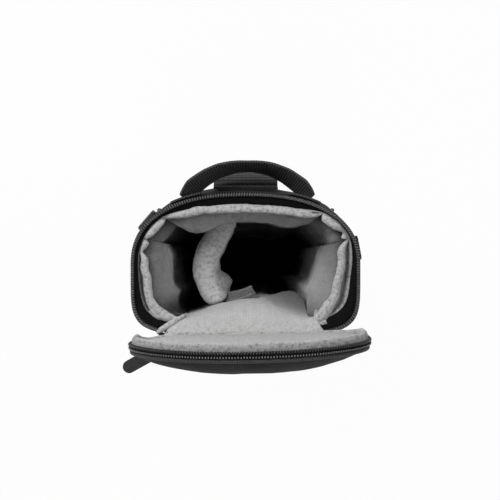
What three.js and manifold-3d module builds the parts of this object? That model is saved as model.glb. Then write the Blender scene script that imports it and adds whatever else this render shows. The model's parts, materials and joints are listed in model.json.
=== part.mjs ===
// A soft, padded compact camera case, standing open. The body is a rounded box of outer fabric,
// foam and a brushed lining, with a curved padded divider inside. A coil zipper runs round the
// mouth from one end of the hinge to the other. The lid is hinged along the front edge, and a
// carry handle, a belt loop and two strap tabs sit on the back.
// Units are millimetres. X runs to the right, Y to the back and Z up, from the middle of the base.

import * as THREE from 'three';
import { mergeVertices } from 'three/addons/utils/BufferGeometryUtils.js';
import Module from 'manifold-3d';

// Body outline
const mouthHeight = 130;
const mouthHalfWidth = 65;
const mouthBackDepth = 40.4;
const mouthFrontDepth = 39.4;
const backSquareness = 2.35;
const frontSquareness = 5.5;
const cornerFullness = 0.6;
const baseTaper = 7;
const sideBulge = 5;
const backBulge = 10;
const frontBulge = 3;

// Layers of the wall
const fabricThickness = 1.6;
const liningThickness = 1.2;
const seatGap = 0.3;
const foamGap = 0.45;
const baseFoamThickness = 6;
const rollRadius = 2.25;
const rollInset = 5;
const rollDrop = 2;
const rollTuck = 7;

// Padding, as the depth from the outer face to the lining at each pad's crown
const frontPadCrown = 20.5;
const backPadCrown = 18;
const leftPadCrown = 17.5;
const rightPadCrown = 21;
const frontPadPeak = 6;
const cornerStripLength = 21;
const backPadHalfLength = 50;

// Zipper
const hingeHalfLength = 46;
const toothPitch = 1.5;
const toothWidth = 2.4;
const toothHeight = 1.5;
const rowGap = 0.3;
const tapeThickness = 0.8;
const tapeDepth = 8;
const lidTapeDepth = 2.6;
const tapeLean = 2.1;

// Zipper slider, its pull and the short joined chain that it waits on
const sliderLength = 9;
const sliderHeight = 7.2;
const plateThickness = 1;
const chainClearance = 0.5;
const chainLength = 13;
const chainDrop = 6.2;
const postReach = 3;
const postRadius = 0.7;
const pullLength = 22.5;
const pullWidth = 7.5;
const pullThickness = 2.2;
const pullNeckLength = 7;
const pullShoulder = 1.5;
const pullShoulderInset = 0.4;
const wedgeRadius = 1.7;
const wedgeInset = 2.2;
const armThickness = 1.2;
const stopLength = 2.4;
const endTapeHeight = 4;
const pullHeading = -149;

// Lid
const lidOpenAngle = 92;
const gussetHeight = 4;
const gussetBow = 0.6;
const lidPipingInset = 1;
const lidPipingRadius = 1.1;
const lidDome = 9.5;
const lidDomeFullness = 3.2;
const lidFoamThickness = 1.7;
const lidLiningRim = 1;
const lidLiningCrown = 1.4;
const hingeFoldRadius = 1.8;

// Piping
const basePipingRadius = 1.4;
const seamPipingRadius = 1.2;
const basePipingInset = 0.8;
const basePipingLift = 0.4;

// Divider
const dividerTopDrop = 30;
const dividerHalfWidth = 7.5;
const dividerBow = 27;
const dividerMiddle = -26;
const dividerEndInset = 19.4;
const hookTabLength = 14;
const hookTabHeight = 8;
const hookTabDrop = 6;

// Handle and belt loop on the back
const handleWidth = 20;
const handleThickness = 2.2;
const handleHalfSpan = 39.5;
const handleReach = 16.5;
const handleArch = 2.3;
const handleDrop = 12;
const handleStandOff = 3.6;
const handleLean = 20;
const handleEndWidth = 5.5;
const handleTaper = 0.3;
const anchorLength = 2.6;
const beltLoopWidth = 38;
const beltLoopThickness = 2;
const beltLoopReach = 6.5;
const beltLoopTopDrop = 18;
const beltLoopBottom = 36;
const beltLoopSeam = 8;

// Strap tabs, each a loop of flat webbing, placed along the mouth from the hinge's ends
const strapTabWidth = 14;
const strapTabThickness = 1;
const strapTabDrop = 9;
const strapTabLength = 24;
const strapTabOpening = 0.5;
const rightTabDistance = 59;
const leftTabDistance = 76.5;

const radians = THREE.MathUtils.degToRad;

// Skins a row of rings into one closed solid. All rings have the same even number of points, and
// point k faces the k-th point from the end across the section, so the end caps are ladders.
function loft(rings, closed = false) {
  const size = rings[0].length;
  const points = rings.flat();
  const triangles = [];
  const addTriangle = (a, b, c) => {
    const flat = points[a].distanceToSquared(points[b]) < 1e-8
      || points[b].distanceToSquared(points[c]) < 1e-8
      || points[c].distanceToSquared(points[a]) < 1e-8;
    if (!flat) triangles.push([a, b, c]);
  };
  const addQuad = (a, b, c, d) => {
    addTriangle(a, b, c);
    addTriangle(a, c, d);
  };
  const spans = closed ? rings.length : rings.length - 1;
  for (let i = 0; i < spans; i += 1) {
    const here = i * size;
    const next = ((i + 1) % rings.length) * size;
    for (let k = 0; k < size; k += 1) {
      const l = (k + 1) % size;
      addQuad(here + k, next + k, next + l, here + l);
    }
  }
  if (!closed) {
    const last = (rings.length - 1) * size;
    for (let k = 0; k < size / 2 - 1; k += 1) {
      const m = size - 1 - k;
      addQuad(k, k + 1, m - 1, m);
      addQuad(last + k, last + m, last + m - 1, last + k + 1);
    }
  }
  return closedGeometry(points, triangles);
}

// Turns points and triangles into a geometry whose faces point outwards.
function closedGeometry(points, triangles) {
  let volume = 0;
  const cross = new THREE.Vector3();
  for (const [a, b, c] of triangles) {
    volume += points[a].dot(cross.crossVectors(points[b], points[c]));
  }
  const order = volume < 0 ? ([a, b, c]) => [a, c, b] : (triangle) => triangle;
  const geometry = new THREE.BufferGeometry().setFromPoints(points);
  geometry.setIndex(triangles.flatMap(order));
  geometry.computeVertexNormals();
  return geometry;
}

// The plan outline at a given turn: superellipse quarters. The front is always squarer than the
// back, whose squareness comes with the reach.
function outline(turn, reach) {
  const across = Math.abs(Math.cos(turn) / reach.side);
  const front = Math.sin(turn) < 0;
  const along = Math.abs(Math.sin(turn) / (front ? reach.front : reach.back));
  const squareness = front ? frontSquareness : reach.squareness;
  const radius = (across ** squareness + along ** squareness) ** (-1 / squareness);
  return [radius * Math.cos(turn), radius * Math.sin(turn)];
}

const mouthReach = {
  side: mouthHalfWidth,
  back: mouthBackDepth,
  front: mouthFrontDepth,
  squareness: backSquareness,
};

function inset(reach, depth) {
  return {
    ...reach,
    side: reach.side - depth,
    back: reach.back - depth,
    front: reach.front - depth,
  };
}

// How far the outer face reaches at height z: it tapers to the base and bulges between.
function bodyReach(z) {
  const share = z / mouthHeight;
  const swell = Math.sin(Math.PI * share);
  const taper = baseTaper * (1 - share);
  return {
    side: mouthHalfWidth - taper + sideBulge * swell,
    back: mouthBackDepth - taper + backBulge * swell,
    front: mouthFrontDepth - taper + frontBulge * swell,
    squareness: backSquareness + cornerFullness * swell,
  };
}

function wallPoint(turn, z, depth) {
  const [x, y] = outline(turn, inset(bodyReach(z), depth));
  return new THREE.Vector3(x, y, z);
}

// Distances run along the mouth, counter-clockwise from the middle of the front edge.
function measureMouth() {
  const steps = 1440;
  const table = [{ turn: -Math.PI / 2, distance: 0 }];
  let [x, y] = outline(-Math.PI / 2, mouthReach);
  for (let i = 1; i <= steps; i += 1) {
    const turn = -Math.PI / 2 + (2 * Math.PI * i) / steps;
    const [nextX, nextY] = outline(turn, mouthReach);
    const distance = table[i - 1].distance + Math.hypot(nextX - x, nextY - y);
    table.push({ turn, distance });
    [x, y] = [nextX, nextY];
  }
  return table;
}

const mouthTable = measureMouth();
const mouthLength = mouthTable[mouthTable.length - 1].distance;
const backMiddle = mouthLength / 2;

function turnAt(distance) {
  const rounds = Math.floor(distance / mouthLength);
  const rest = distance - rounds * mouthLength;
  const after = Math.max(1, mouthTable.findIndex((entry) => entry.distance >= rest));
  const [low, high] = [mouthTable[after - 1], mouthTable[after]];
  const share = (rest - low.distance) / (high.distance - low.distance);
  return THREE.MathUtils.lerp(low.turn, high.turn, share) + 2 * Math.PI * rounds;
}

function samplesBetween(from, to, steps) {
  return Array.from({ length: steps + 1 }, (_, i) => {
    const distance = THREE.MathUtils.lerp(from, to, i / steps);
    return { distance, turn: turnAt(distance) };
  });
}

// The pads that line the wall, in order round the mouth. Each swells from its seams to its crown.
const backPadStart = backMiddle - backPadHalfLength;
const backPadEnd = backMiddle + backPadHalfLength;
const pads = [
  { name: 'front', from: -hingeHalfLength, to: hingeHalfLength, peak: frontPadPeak,
    crown: frontPadCrown, flatness: 2, fade: 1.6, steps: 10 },
  { name: 'right', from: hingeHalfLength, to: backPadStart - cornerStripLength,
    crown: rightPadCrown, flatness: 4, fade: 1, steps: 10 },
  { name: 'back_right_corner', from: backPadStart - cornerStripLength, to: backPadStart,
    crown: 0, flatness: 2, fade: 1, steps: 5 },
  { name: 'back', from: backPadStart, to: backPadEnd, crown: backPadCrown,
    flatness: 2.5, fade: 1, steps: 10 },
  { name: 'back_left_corner', from: backPadEnd, to: backPadEnd + cornerStripLength,
    crown: 0, flatness: 2, fade: 1, steps: 5 },
  { name: 'left', from: backPadEnd + cornerStripLength, to: mouthLength - hingeHalfLength,
    crown: leftPadCrown, flatness: 4, fade: 1, steps: 10 },
];

const padSeamDepth = rollInset + 2 * rollRadius;
const baseFoamTop = fabricThickness + seatGap + baseFoamThickness;
const padBottom = baseFoamTop + seatGap;
const rollCentreHeight = mouthHeight - rollDrop - rollRadius;

// Depth of the lining's inner face below the outer face, at a distance along a pad and a height.
function padDepth(pad, distance, z) {
  const peak = pad.peak ?? (pad.from + pad.to) / 2;
  const share = (distance - peak) / (distance < peak ? peak - pad.from : pad.to - peak);
  const along = (1 - Math.min(1, Math.abs(share)) ** pad.flatness) ** pad.fade;
  const below = (rollCentreHeight - z) / (rollCentreHeight - padBottom);
  const down = Math.sin(Math.PI * Math.max(0, below) ** 0.6);
  return padSeamDepth + Math.max(0, pad.crown - padSeamDepth) * along * down;
}

function padSamples(pad) {
  return samplesBetween(pad.from + seatGap / 2, pad.to - seatGap / 2, pad.steps);
}

function heights(low, high, steps) {
  return Array.from({ length: steps + 1 }, (_, i) => THREE.MathUtils.lerp(low, high, i / steps));
}

// One wall sector: outer(sample) and inner(sample) give matching lists of points.
function wallSlab(samples, outer, inner) {
  return loft(samples.map((sample) => [...outer(sample), ...inner(sample).reverse()]));
}

const padHeights = heights(padBottom, mouthHeight - rollDrop - rollRadius - rollTuck, 6);

function foamGeometry(pad) {
  const outer = ({ turn }) => padHeights.map((z) => wallPoint(turn, z, fabricThickness + foamGap));
  const inner = ({ turn, distance }) => padHeights.map((z) => (
    wallPoint(turn, z, padDepth(pad, distance, z) - liningThickness - seatGap)));
  return wallSlab(padSamples(pad), outer, inner);
}

// The lining climbs the inner face, rolls over the top of the foam and tucks down behind it.
function liningGeometry(pad) {
  const face = (depthOffset, radius) => ({ turn, distance }) => {
    const rise = padHeights.map((z) => wallPoint(turn, z, padDepth(pad, distance, z) - depthOffset));
    const roll = [0, 60, 120, 180].map((angle) => wallPoint(
      turn,
      rollCentreHeight + radius * Math.sin(radians(angle)),
      rollInset + rollRadius + radius * Math.cos(radians(angle)),
    ));
    const tuck = wallPoint(turn, rollCentreHeight - rollTuck + seatGap,
      rollInset + rollRadius - radius);
    return [...rise, ...roll, tuck];
  };
  const visible = face(0, rollRadius);
  const hidden = face(liningThickness, rollRadius - liningThickness);
  return wallSlab(padSamples(pad), visible, hidden);
}

// Outer fabric panels meet at the corner pipings and at the base piping.
const basePipingHeight = basePipingRadius + basePipingLift;
const panelBottom = basePipingHeight + basePipingRadius + seatGap;
const toothRowBottom = mouthHeight - rowGap - toothHeight;
const panelTop = toothRowBottom - rowGap - seamPipingRadius;
const hingePanelTop = mouthHeight - hingeFoldRadius - seatGap;

function panelGeometry(from, to, middleSamples, top = panelTop) {
  const margin = seamPipingRadius + 2 * seatGap;
  const ends = [from + margin, to - margin].map((distance) => ({ turn: turnAt(distance) }));
  const inside = middleSamples.filter(({ distance }) => (
    distance > from + 2 * margin && distance < to - 2 * margin));
  const samples = [ends[0], ...inside, ends[1]];
  const levels = [panelBottom, ...padHeights, top];
  const face = (depth) => ({ turn }) => levels.map((z) => wallPoint(turn, z, depth));
  return wallSlab(samples, face(0), face(fabricThickness));
}

// A round cord along a row of points, each given with the two directions of its section.
function cordRings(stations, radius, sides) {
  return stations.map(({ centre, across, up }) => Array.from({ length: sides }, (_, k) => {
    const angle = (2 * Math.PI * (k + 0.5)) / sides;
    return centre.clone()
      .addScaledVector(across, radius * Math.cos(angle))
      .addScaledVector(up, radius * Math.sin(angle));
  }));
}

const upright = new THREE.Vector3(0, 0, 1);
const sideways = new THREE.Vector3(1, 0, 0);
const backwards = new THREE.Vector3(0, 1, 0);

function seamPipingGeometry(distance) {
  const turn = turnAt(distance);
  const stations = heights(panelBottom, panelTop, 6).map((z) => ({
    centre: wallPoint(turn, z, seatGap),
    across: sideways,
    up: backwards,
  }));
  return loft(cordRings(stations, seamPipingRadius, 6));
}

const allSamples = pads.flatMap((pad) => padSamples(pad).slice(0, -1));

// A closed ring of cord that follows the outline, at a height and inset from a reach.
function ringPipingGeometry(reach, depth, z, radius) {
  const stations = allSamples.map(({ turn }) => {
    const [x, y] = outline(turn, inset(reach, depth));
    const outward = new THREE.Vector3(x, y, 0).normalize();
    return { centre: new THREE.Vector3(x, y, z), across: outward, up: upright };
  });
  return loft(cordRings(stations, radius, 6), true);
}

// A closed plate inside the outline. face(share) gives the height of its top or bottom at a share
// of the way from the middle to the rim, and rim(sample) the outline's reach there.
function plateGeometry(rim, shares, top, bottom) {
  const rings = allSamples.map((sample) => {
    const [x, y] = outline(sample.turn, rim(sample));
    const place = (height) => (share) => new THREE.Vector3(x * share, y * share, height(share));
    return [...shares.map(place(top)), ...[...shares].reverse().map(place(bottom))];
  });
  return loft(rings, true);
}

const basePanelInset = basePipingInset + basePipingRadius + seatGap;

function padOfDistance(distance) {
  const wrapped = distance > mouthLength - hingeHalfLength ? distance - mouthLength : distance;
  return pads.find((pad) => wrapped >= pad.from - 1e-6 && wrapped <= pad.to + 1e-6);
}

function floorRim({ distance }) {
  const pad = padOfDistance(distance);
  return inset(bodyReach(padBottom), padDepth(pad, distance, padBottom) + seatGap);
}

// A row of zipper coil: a cord whose section swells at each tooth and shrinks between them.
function toothRowGeometry(from, to, place) {
  const count = Math.round((to - from) / toothPitch);
  const rings = [];
  for (let i = 0; i <= 2 * count; i += 1) {
    const turn = turnAt(from + (i * (to - from)) / (2 * count));
    const tooth = i % 2 === 0;
    const outer = tooth ? -toothWidth / 2 : -toothWidth / 4;
    const inner = tooth ? toothWidth / 2 : toothWidth / 3;
    const low = tooth ? rowGap : rowGap + toothHeight / 5;
    const high = rowGap + toothHeight * (tooth ? 1 : 0.8);
    rings.push([
      place(turn, outer, low),
      place(turn, inner, low),
      place(turn, inner, high),
      place(turn, outer, high),
    ]);
  }
  return loft(rings);
}

function tapeGeometry(samples, place, depth) {
  const start = toothWidth / 2 + seatGap;
  return loft(samples.map(({ turn }) => [
    place(turn, start, rowGap + toothHeight / 4),
    place(turn, start + tapeLean, rowGap + depth),
    place(turn, start + tapeLean + tapeThickness, rowGap + depth),
    place(turn, start + tapeThickness, rowGap + toothHeight / 4),
  ]));
}

// On the body the row hangs below the mouth plane, and on the lid it lies above it.
function bodyPlace(turn, depth, away) {
  return wallPoint(turn, mouthHeight - away, depth);
}

function lidPlace(turn, depth, away) {
  const [x, y] = outline(turn, inset(mouthReach, depth));
  return new THREE.Vector3(x, y + mouthFrontDepth, away);
}

const rowStart = hingeHalfLength;
const rowEnd = mouthLength - hingeHalfLength;
const rowSamples = allSamples.filter(({ distance }) => distance >= rowStart && distance <= rowEnd);

const material = (color, roughness, metalness = 0) => (
  new THREE.MeshStandardMaterial({ color, roughness, metalness }));
const outerFabric = () => material(0x17181a, 0.9);
const brushedLining = () => material(0x9a9a98, 0.95);
const foamFill = () => material(0x55565a, 0.95);
const webbing = () => material(0x232427, 0.8);
const coilPlastic = () => material(0x0f1012, 0.45);
const zipTape = () => material(0x121315, 0.85);
const darkMetal = () => material(0x3a3b3e, 0.35, 0.8);
const softRubber = () => material(0x2c2d30, 0.7);

const group = new THREE.Group();

function addPiece(name, geometry, surface, parent = group) {
  const mesh = new THREE.Mesh(geometry, surface);
  mesh.name = name;
  parent.add(mesh);
  return mesh;
}

function addBody() {
  addPiece('base_panel', plateGeometry(
    () => inset(bodyReach(0), basePanelInset), [0, 1], () => fabricThickness, () => 0,
  ), outerFabric());
  addPiece('base_piping', ringPipingGeometry(
    bodyReach(0), basePipingInset, basePipingHeight, basePipingRadius,
  ), webbing());
  addPiece('base_foam', plateGeometry(
    () => inset(bodyReach(0), basePanelInset), [0, 1],
    () => baseFoamTop, () => fabricThickness + seatGap,
  ), foamFill());
  addPiece('floor_lining', plateGeometry(
    floorRim, [0, 0.7, 1],
    (share) => padBottom + liningThickness * (2 - share ** 3), () => padBottom,
  ), brushedLining());
  const corners = [hingeHalfLength, backPadStart, backPadEnd, mouthLength - hingeHalfLength];
  addPiece('front_panel', panelGeometry(
    -corners[0], corners[0], padSamples(pads[0]), hingePanelTop,
  ), outerFabric());
  const rightSamples = [...padSamples(pads[1]), ...padSamples(pads[2])];
  addPiece('right_panel', panelGeometry(corners[0], corners[1], rightSamples), outerFabric());
  addPiece('back_panel', panelGeometry(corners[1], corners[2], padSamples(pads[3])), outerFabric());
  const leftSamples = [...padSamples(pads[4]), ...padSamples(pads[5])];
  addPiece('left_panel', panelGeometry(corners[2], corners[3], leftSamples), outerFabric());
  const names = ['front_right', 'back_right', 'back_left', 'front_left'];
  corners.forEach((distance, i) => {
    addPiece(`${names[i]}_piping`, seamPipingGeometry(distance), webbing());
  });
}

function addPads() {
  for (const pad of pads) {
    addPiece(`${pad.name}_foam`, foamGeometry(pad), foamFill());
    addPiece(`${pad.name}_lining`, liningGeometry(pad), brushedLining());
  }
}

function addZipper(lid) {
  addPiece('body_zip_teeth', toothRowGeometry(rowStart, rowEnd, bodyPlace), coilPlastic());
  addPiece('body_zip_tape', tapeGeometry(rowSamples, bodyPlace, tapeDepth), zipTape());
  addPiece('lid_zip_teeth', toothRowGeometry(rowStart, rowEnd, lidPlace), coilPlastic(), lid);
  const lidTape = tapeGeometry(rowSamples, lidPlace, lidTapeDepth);
  addPiece('lid_zip_tape', lidTape, zipTape(), lid);
}

// The lid is modelled closed, with the hinge line as its X axis, and then turned open.
function lidLoft(depths, levels) {
  return loft(allSamples.map(({ turn }) => (
    depths.map((depth, i) => lidPlace(turn, depth, levels[i])))), true);
}

function lidPlate(depth, shares, top, bottom) {
  const geometry = plateGeometry(() => inset(mouthReach, depth), shares, top, bottom);
  return geometry.translate(0, mouthFrontDepth, 0);
}

function addLid() {
  const lid = new THREE.Group();
  lid.position.set(0, -mouthFrontDepth, mouthHeight);
  lid.rotation.x = radians(lidOpenAngle);
  group.add(lid);
  const gussetStart = hingeFoldRadius + seatGap;
  const gussetMiddle = (gussetStart + gussetHeight) / 2;
  const gussetDepths = [0, -gussetBow, 0];
  const gussetInside = gussetDepths.map((depth) => depth + fabricThickness);
  const gussetLevels = [gussetStart, gussetMiddle, gussetHeight];
  addPiece('lid_gusset', lidLoft(
    [...gussetDepths, ...gussetInside], [...gussetLevels, ...[...gussetLevels].reverse()],
  ), outerFabric(), lid);
  const pipingLevel = gussetHeight + lidPipingRadius + seatGap;
  addPiece('lid_piping', ringPipingGeometry(
    mouthReach, lidPipingInset, pipingLevel, lidPipingRadius,
  ).translate(0, mouthFrontDepth, 0), webbing(), lid);
  const panelDepth = lidPipingInset + lidPipingRadius + seatGap;
  const dome = (share) => lidDome * (1 - share ** lidDomeFullness);
  const lidShares = [0, 0.45, 0.7, 0.88, 1];
  addPiece('lid_top_panel', lidPlate(
    panelDepth, lidShares,
    (share) => pipingLevel + fabricThickness / 2 + dome(share),
    (share) => pipingLevel - fabricThickness / 2 + dome(share),
  ), outerFabric(), lid);
  const liningDepth = toothWidth / 2 + seatGap + tapeLean + tapeThickness + seatGap;
  const foamTop = pipingLevel - fabricThickness / 2 - seatGap;
  const foamBottom = foamTop - lidFoamThickness;
  addPiece('lid_foam', lidPlate(
    liningDepth, lidShares, (share) => foamTop + dome(share), () => foamBottom,
  ), foamFill(), lid);
  addPiece('lid_lining', lidPlate(
    liningDepth, [0, 0.5, 0.8, 0.94, 1], () => foamBottom - seatGap,
    (share) => lidLiningRim - (lidLiningRim + lidLiningCrown) * (1 - share ** 5),
  ), brushedLining(), lid);
  return lid;
}

function addHingeFold() {
  const half = hingeHalfLength - 1;
  const stations = [-half, half].map((x) => ({
    centre: new THREE.Vector3(x, -mouthFrontDepth, mouthHeight),
    across: backwards,
    up: upright,
  }));
  addPiece('hinge_fold', loft(cordRings(stations, hingeFoldRadius, 8)), outerFabric());
}

// The divider stands on the floor lining and bows to the left between the front and back pads.
const dividerBackEnd = mouthBackDepth - dividerEndInset;
const dividerFrontEnd = dividerEndInset - mouthFrontDepth;

function dividerCentre(y) {
  const middle = (dividerBackEnd + dividerFrontEnd) / 2;
  return dividerMiddle + dividerBow - Math.sqrt(dividerBow ** 2 - (y - middle) ** 2);
}

function addDivider() {
  const bottom = padBottom + 2 * liningThickness + seatGap + 0.1;
  const top = mouthHeight - dividerTopDrop;
  const profile = [[-0.55, 0], [-1, 4], [-1, -6], [-0.7, -1.5], [-0.25, 0]];
  const rings = heights(dividerFrontEnd, dividerBackEnd, 10).map((y) => {
    const left = profile.map(([share, z], i) => new THREE.Vector3(
      dividerCentre(y) + share * dividerHalfWidth, y, i < 2 ? bottom + z : top + z,
    ));
    const right = left.map((point) => new THREE.Vector3(
      2 * dividerCentre(y) - point.x, y, point.z,
    ));
    return [...left, ...right.reverse()];
  });
  addPiece('divider_pad', loft(rings), brushedLining());
  const tabStart = (y) => dividerHalfWidth + seatGap
    + Math.max(dividerCentre(y), dividerCentre(y - liningThickness));
  const addTab = (name, y) => {
    const shape = roundedShape(hookTabLength, hookTabHeight, 1.5);
    const geometry = new THREE.ExtrudeGeometry(shape, {
      depth: liningThickness, bevelEnabled: false, curveSegments: 3,
    });
    geometry.rotateX(Math.PI / 2);
    geometry.translate(tabStart(y) + hookTabLength / 2, y, top - hookTabDrop - hookTabHeight / 2);
    addPiece(name, geometry, webbing());
  };
  addTab('divider_tab_front', dividerFrontEnd + 2.2);
  addTab('divider_tab_back', dividerBackEnd - 1);
}

function roundedShape(width, height, radius) {
  const [x, y] = [width / 2, height / 2];
  const shape = new THREE.Shape();
  shape.moveTo(-x + radius, -y);
  shape.lineTo(x - radius, -y);
  shape.absarc(x - radius, -y + radius, radius, -Math.PI / 2, 0);
  shape.lineTo(x, y - radius);
  shape.absarc(x - radius, y - radius, radius, 0, Math.PI / 2);
  shape.lineTo(-x + radius, y);
  shape.absarc(-x + radius, y - radius, radius, Math.PI / 2, Math.PI);
  shape.lineTo(-x, -y + radius);
  shape.absarc(-x + radius, -y + radius, radius, Math.PI, 1.5 * Math.PI);
  return shape;
}

// A flat strap: at each station a thin rectangle, given by its width and thickness directions.
function strapGeometry(stations) {
  return loft(stations.map(({ centre, width, across, thickness, normal }) => (
    [[-1, -1], [1, -1], [1, 1], [-1, 1]].map(([a, b]) => centre.clone()
      .addScaledVector(across, (a * width) / 2)
      .addScaledVector(normal, (b * thickness) / 2))
  )));
}

const handleHeight = mouthHeight - handleDrop;

function backSurface(x, z) {
  const reach = bodyReach(z);
  const share = Math.abs(x / reach.side) ** reach.squareness;
  return reach.back * (1 - share) ** (1 / reach.squareness);
}

const handleAxisBack = backSurface(handleHalfSpan, handleHeight) + handleStandOff;

function addHandle() {
  const lean = new THREE.Vector3(0, Math.sin(radians(handleLean)), Math.cos(radians(handleLean)));
  const stations = heights(-1, 1, 20).map((share) => {
    const steepness = handleReach * handleArch * Math.abs(share) ** (handleArch - 1);
    const tangent = new THREE.Vector3(handleHalfSpan, -Math.sign(share) * steepness, 0).normalize();
    const across = lean.clone().addScaledVector(tangent, -lean.dot(tangent)).normalize();
    const spread = Math.min(1, (1 - Math.abs(share)) / handleTaper);
    return {
      centre: new THREE.Vector3(
        handleHalfSpan * share,
        handleAxisBack + handleReach * (1 - Math.abs(share) ** handleArch),
        handleHeight,
      ),
      width: THREE.MathUtils.lerp(handleEndWidth, handleWidth, spread),
      across,
      thickness: handleThickness,
      normal: new THREE.Vector3().crossVectors(tangent, across),
    };
  });
  addPiece('handle_strap', strapGeometry(stations), webbing());
}

// Each handle end is sewn beside a folded tab that stands off the back panel.
function addHandleAnchor(name, side) {
  const start = handleHalfSpan + handleThickness / 2 + seatGap;
  const foot = backSurface(start, handleHeight - handleEndWidth) + seatGap;
  const radius = handleEndWidth / 2;
  const shape = new THREE.Shape();
  shape.moveTo(foot, handleHeight - radius - 2);
  shape.lineTo(handleAxisBack, handleHeight - radius);
  shape.absarc(handleAxisBack, handleHeight, radius, -Math.PI / 2, Math.PI / 2);
  shape.lineTo(foot, handleHeight + radius + 2);
  const geometry = new THREE.ExtrudeGeometry(shape, {
    depth: anchorLength, bevelEnabled: false, curveSegments: 5,
  });
  const basis = new THREE.Matrix4().makeBasis(backwards, upright, sideways);
  geometry.applyMatrix4(basis);
  geometry.translate(side > 0 ? start : -start - anchorLength, 0, 0);
  addPiece(name, geometry, webbing());
}

function addBeltLoop() {
  const beltLoopTop = mouthHeight - beltLoopTopDrop;
  const reachAt = (share) => {
    const free = beltLoopSeam / (beltLoopTop - beltLoopBottom);
    const inside = Math.min(1, Math.max(0, (share - free) / (1 - 2 * free)));
    return beltLoopReach * Math.sin(Math.PI * inside) ** 0.5;
  };
  const centres = heights(0, 1, 16).map((share) => {
    const z = THREE.MathUtils.lerp(beltLoopBottom, beltLoopTop, share);
    const y = bodyReach(z).back + seatGap + beltLoopThickness / 2 + reachAt(share);
    return new THREE.Vector3(0, y, z);
  });
  const stations = centres.map((centre, i) => {
    const before = centres[Math.max(0, i - 1)];
    const after = centres[Math.min(centres.length - 1, i + 1)];
    const tangent = after.clone().sub(before).normalize();
    const normal = new THREE.Vector3().crossVectors(sideways, tangent);
    return {
      centre, width: beltLoopWidth, across: sideways, thickness: beltLoopThickness, normal,
    };
  });
  addPiece('belt_loop', strapGeometry(stations), webbing());
}

// A frame on the outer face: its middle, the outward normal and the direction along the wall.
function wallFrame(distance, z) {
  const centre = wallPoint(turnAt(distance), z, 0);
  const ahead = wallPoint(turnAt(distance + 1), z, 0);
  const behind = wallPoint(turnAt(distance - 1), z, 0);
  const along = ahead.sub(behind).normalize();
  const outward = new THREE.Vector3().crossVectors(along, upright);
  return { centre, along, outward };
}

// A strap tab: webbing laid on the corner, folded up at its lower end and sewn down at the top,
// with an opening behind its outer layer for a shoulder strap's clip.
function addStrapTab(side, distance) {
  const top = mouthHeight - strapTabDrop;
  const bottom = top - strapTabLength;
  const { along, outward } = wallFrame(distance, (top + bottom) / 2);
  const turn = turnAt(distance);
  const inner = seatGap + strapTabThickness / 2;
  const foldRadius = (strapTabThickness + strapTabOpening) / 2;
  const at = (out, z) => wallPoint(turn, z, 0).addScaledVector(outward, out);
  const foldLevel = bottom + foldRadius + strapTabThickness / 2;
  const levels = heights(top, foldLevel, 4);
  const sewn = inner + strapTabThickness + seatGap;
  const open = inner + 2 * foldRadius;
  const path = [
    ...levels.map((z) => at(inner, z)),
    ...[225, 270, 315].map((angle) => at(
      inner + foldRadius + foldRadius * Math.cos(radians(angle)),
      foldLevel + foldRadius * Math.sin(radians(angle)),
    )),
    ...levels.reverse().map((z) => at(z > top - strapTabLength / 4 ? sewn : open, z)),
  ];
  const stations = path.map((point, i) => {
    const before = path[Math.max(0, i - 1)];
    const after = path[Math.min(path.length - 1, i + 1)];
    const tangent = after.clone().sub(before).normalize();
    return {
      centre: point,
      width: strapTabWidth,
      across: along,
      thickness: strapTabThickness,
      normal: new THREE.Vector3().crossVectors(along, tangent),
    };
  });
  addPiece(`strap_tab_${side}`, strapGeometry(stations), webbing());
}

const wasm = await Module();
wasm.setup();

function solidOf(geometry) {
  const bare = new THREE.BufferGeometry();
  bare.setAttribute('position', geometry.getAttribute('position'));
  if (geometry.index) bare.setIndex(geometry.index);
  const merged = mergeVertices(bare, 1e-4);
  return new wasm.Manifold(new wasm.Mesh({
    numProp: 3,
    vertProperties: new Float32Array(merged.getAttribute('position').array),
    triVerts: new Uint32Array(merged.index.array),
  }));
}

function geometryOf(solid) {
  const mesh = solid.getMesh();
  const geometry = new THREE.BufferGeometry();
  geometry.setAttribute('position', new THREE.BufferAttribute(mesh.vertProperties, 3));
  geometry.setIndex(new THREE.BufferAttribute(mesh.triVerts, 1));
  geometry.computeVertexNormals();
  return geometry;
}

function block(x, y, z, sizeX, sizeY, sizeZ) {
  return new THREE.BoxGeometry(sizeX, sizeY, sizeZ).translate(x, y, z);
}

const chainHalfHeight = toothHeight + 0.3;
const channelHalf = toothWidth / 2 + chainClearance;
const sliderHalfThickness = channelHalf + plateThickness;
const postDistance = sliderHalfThickness + postReach;
const plateOverlap = 0.2;

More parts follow.
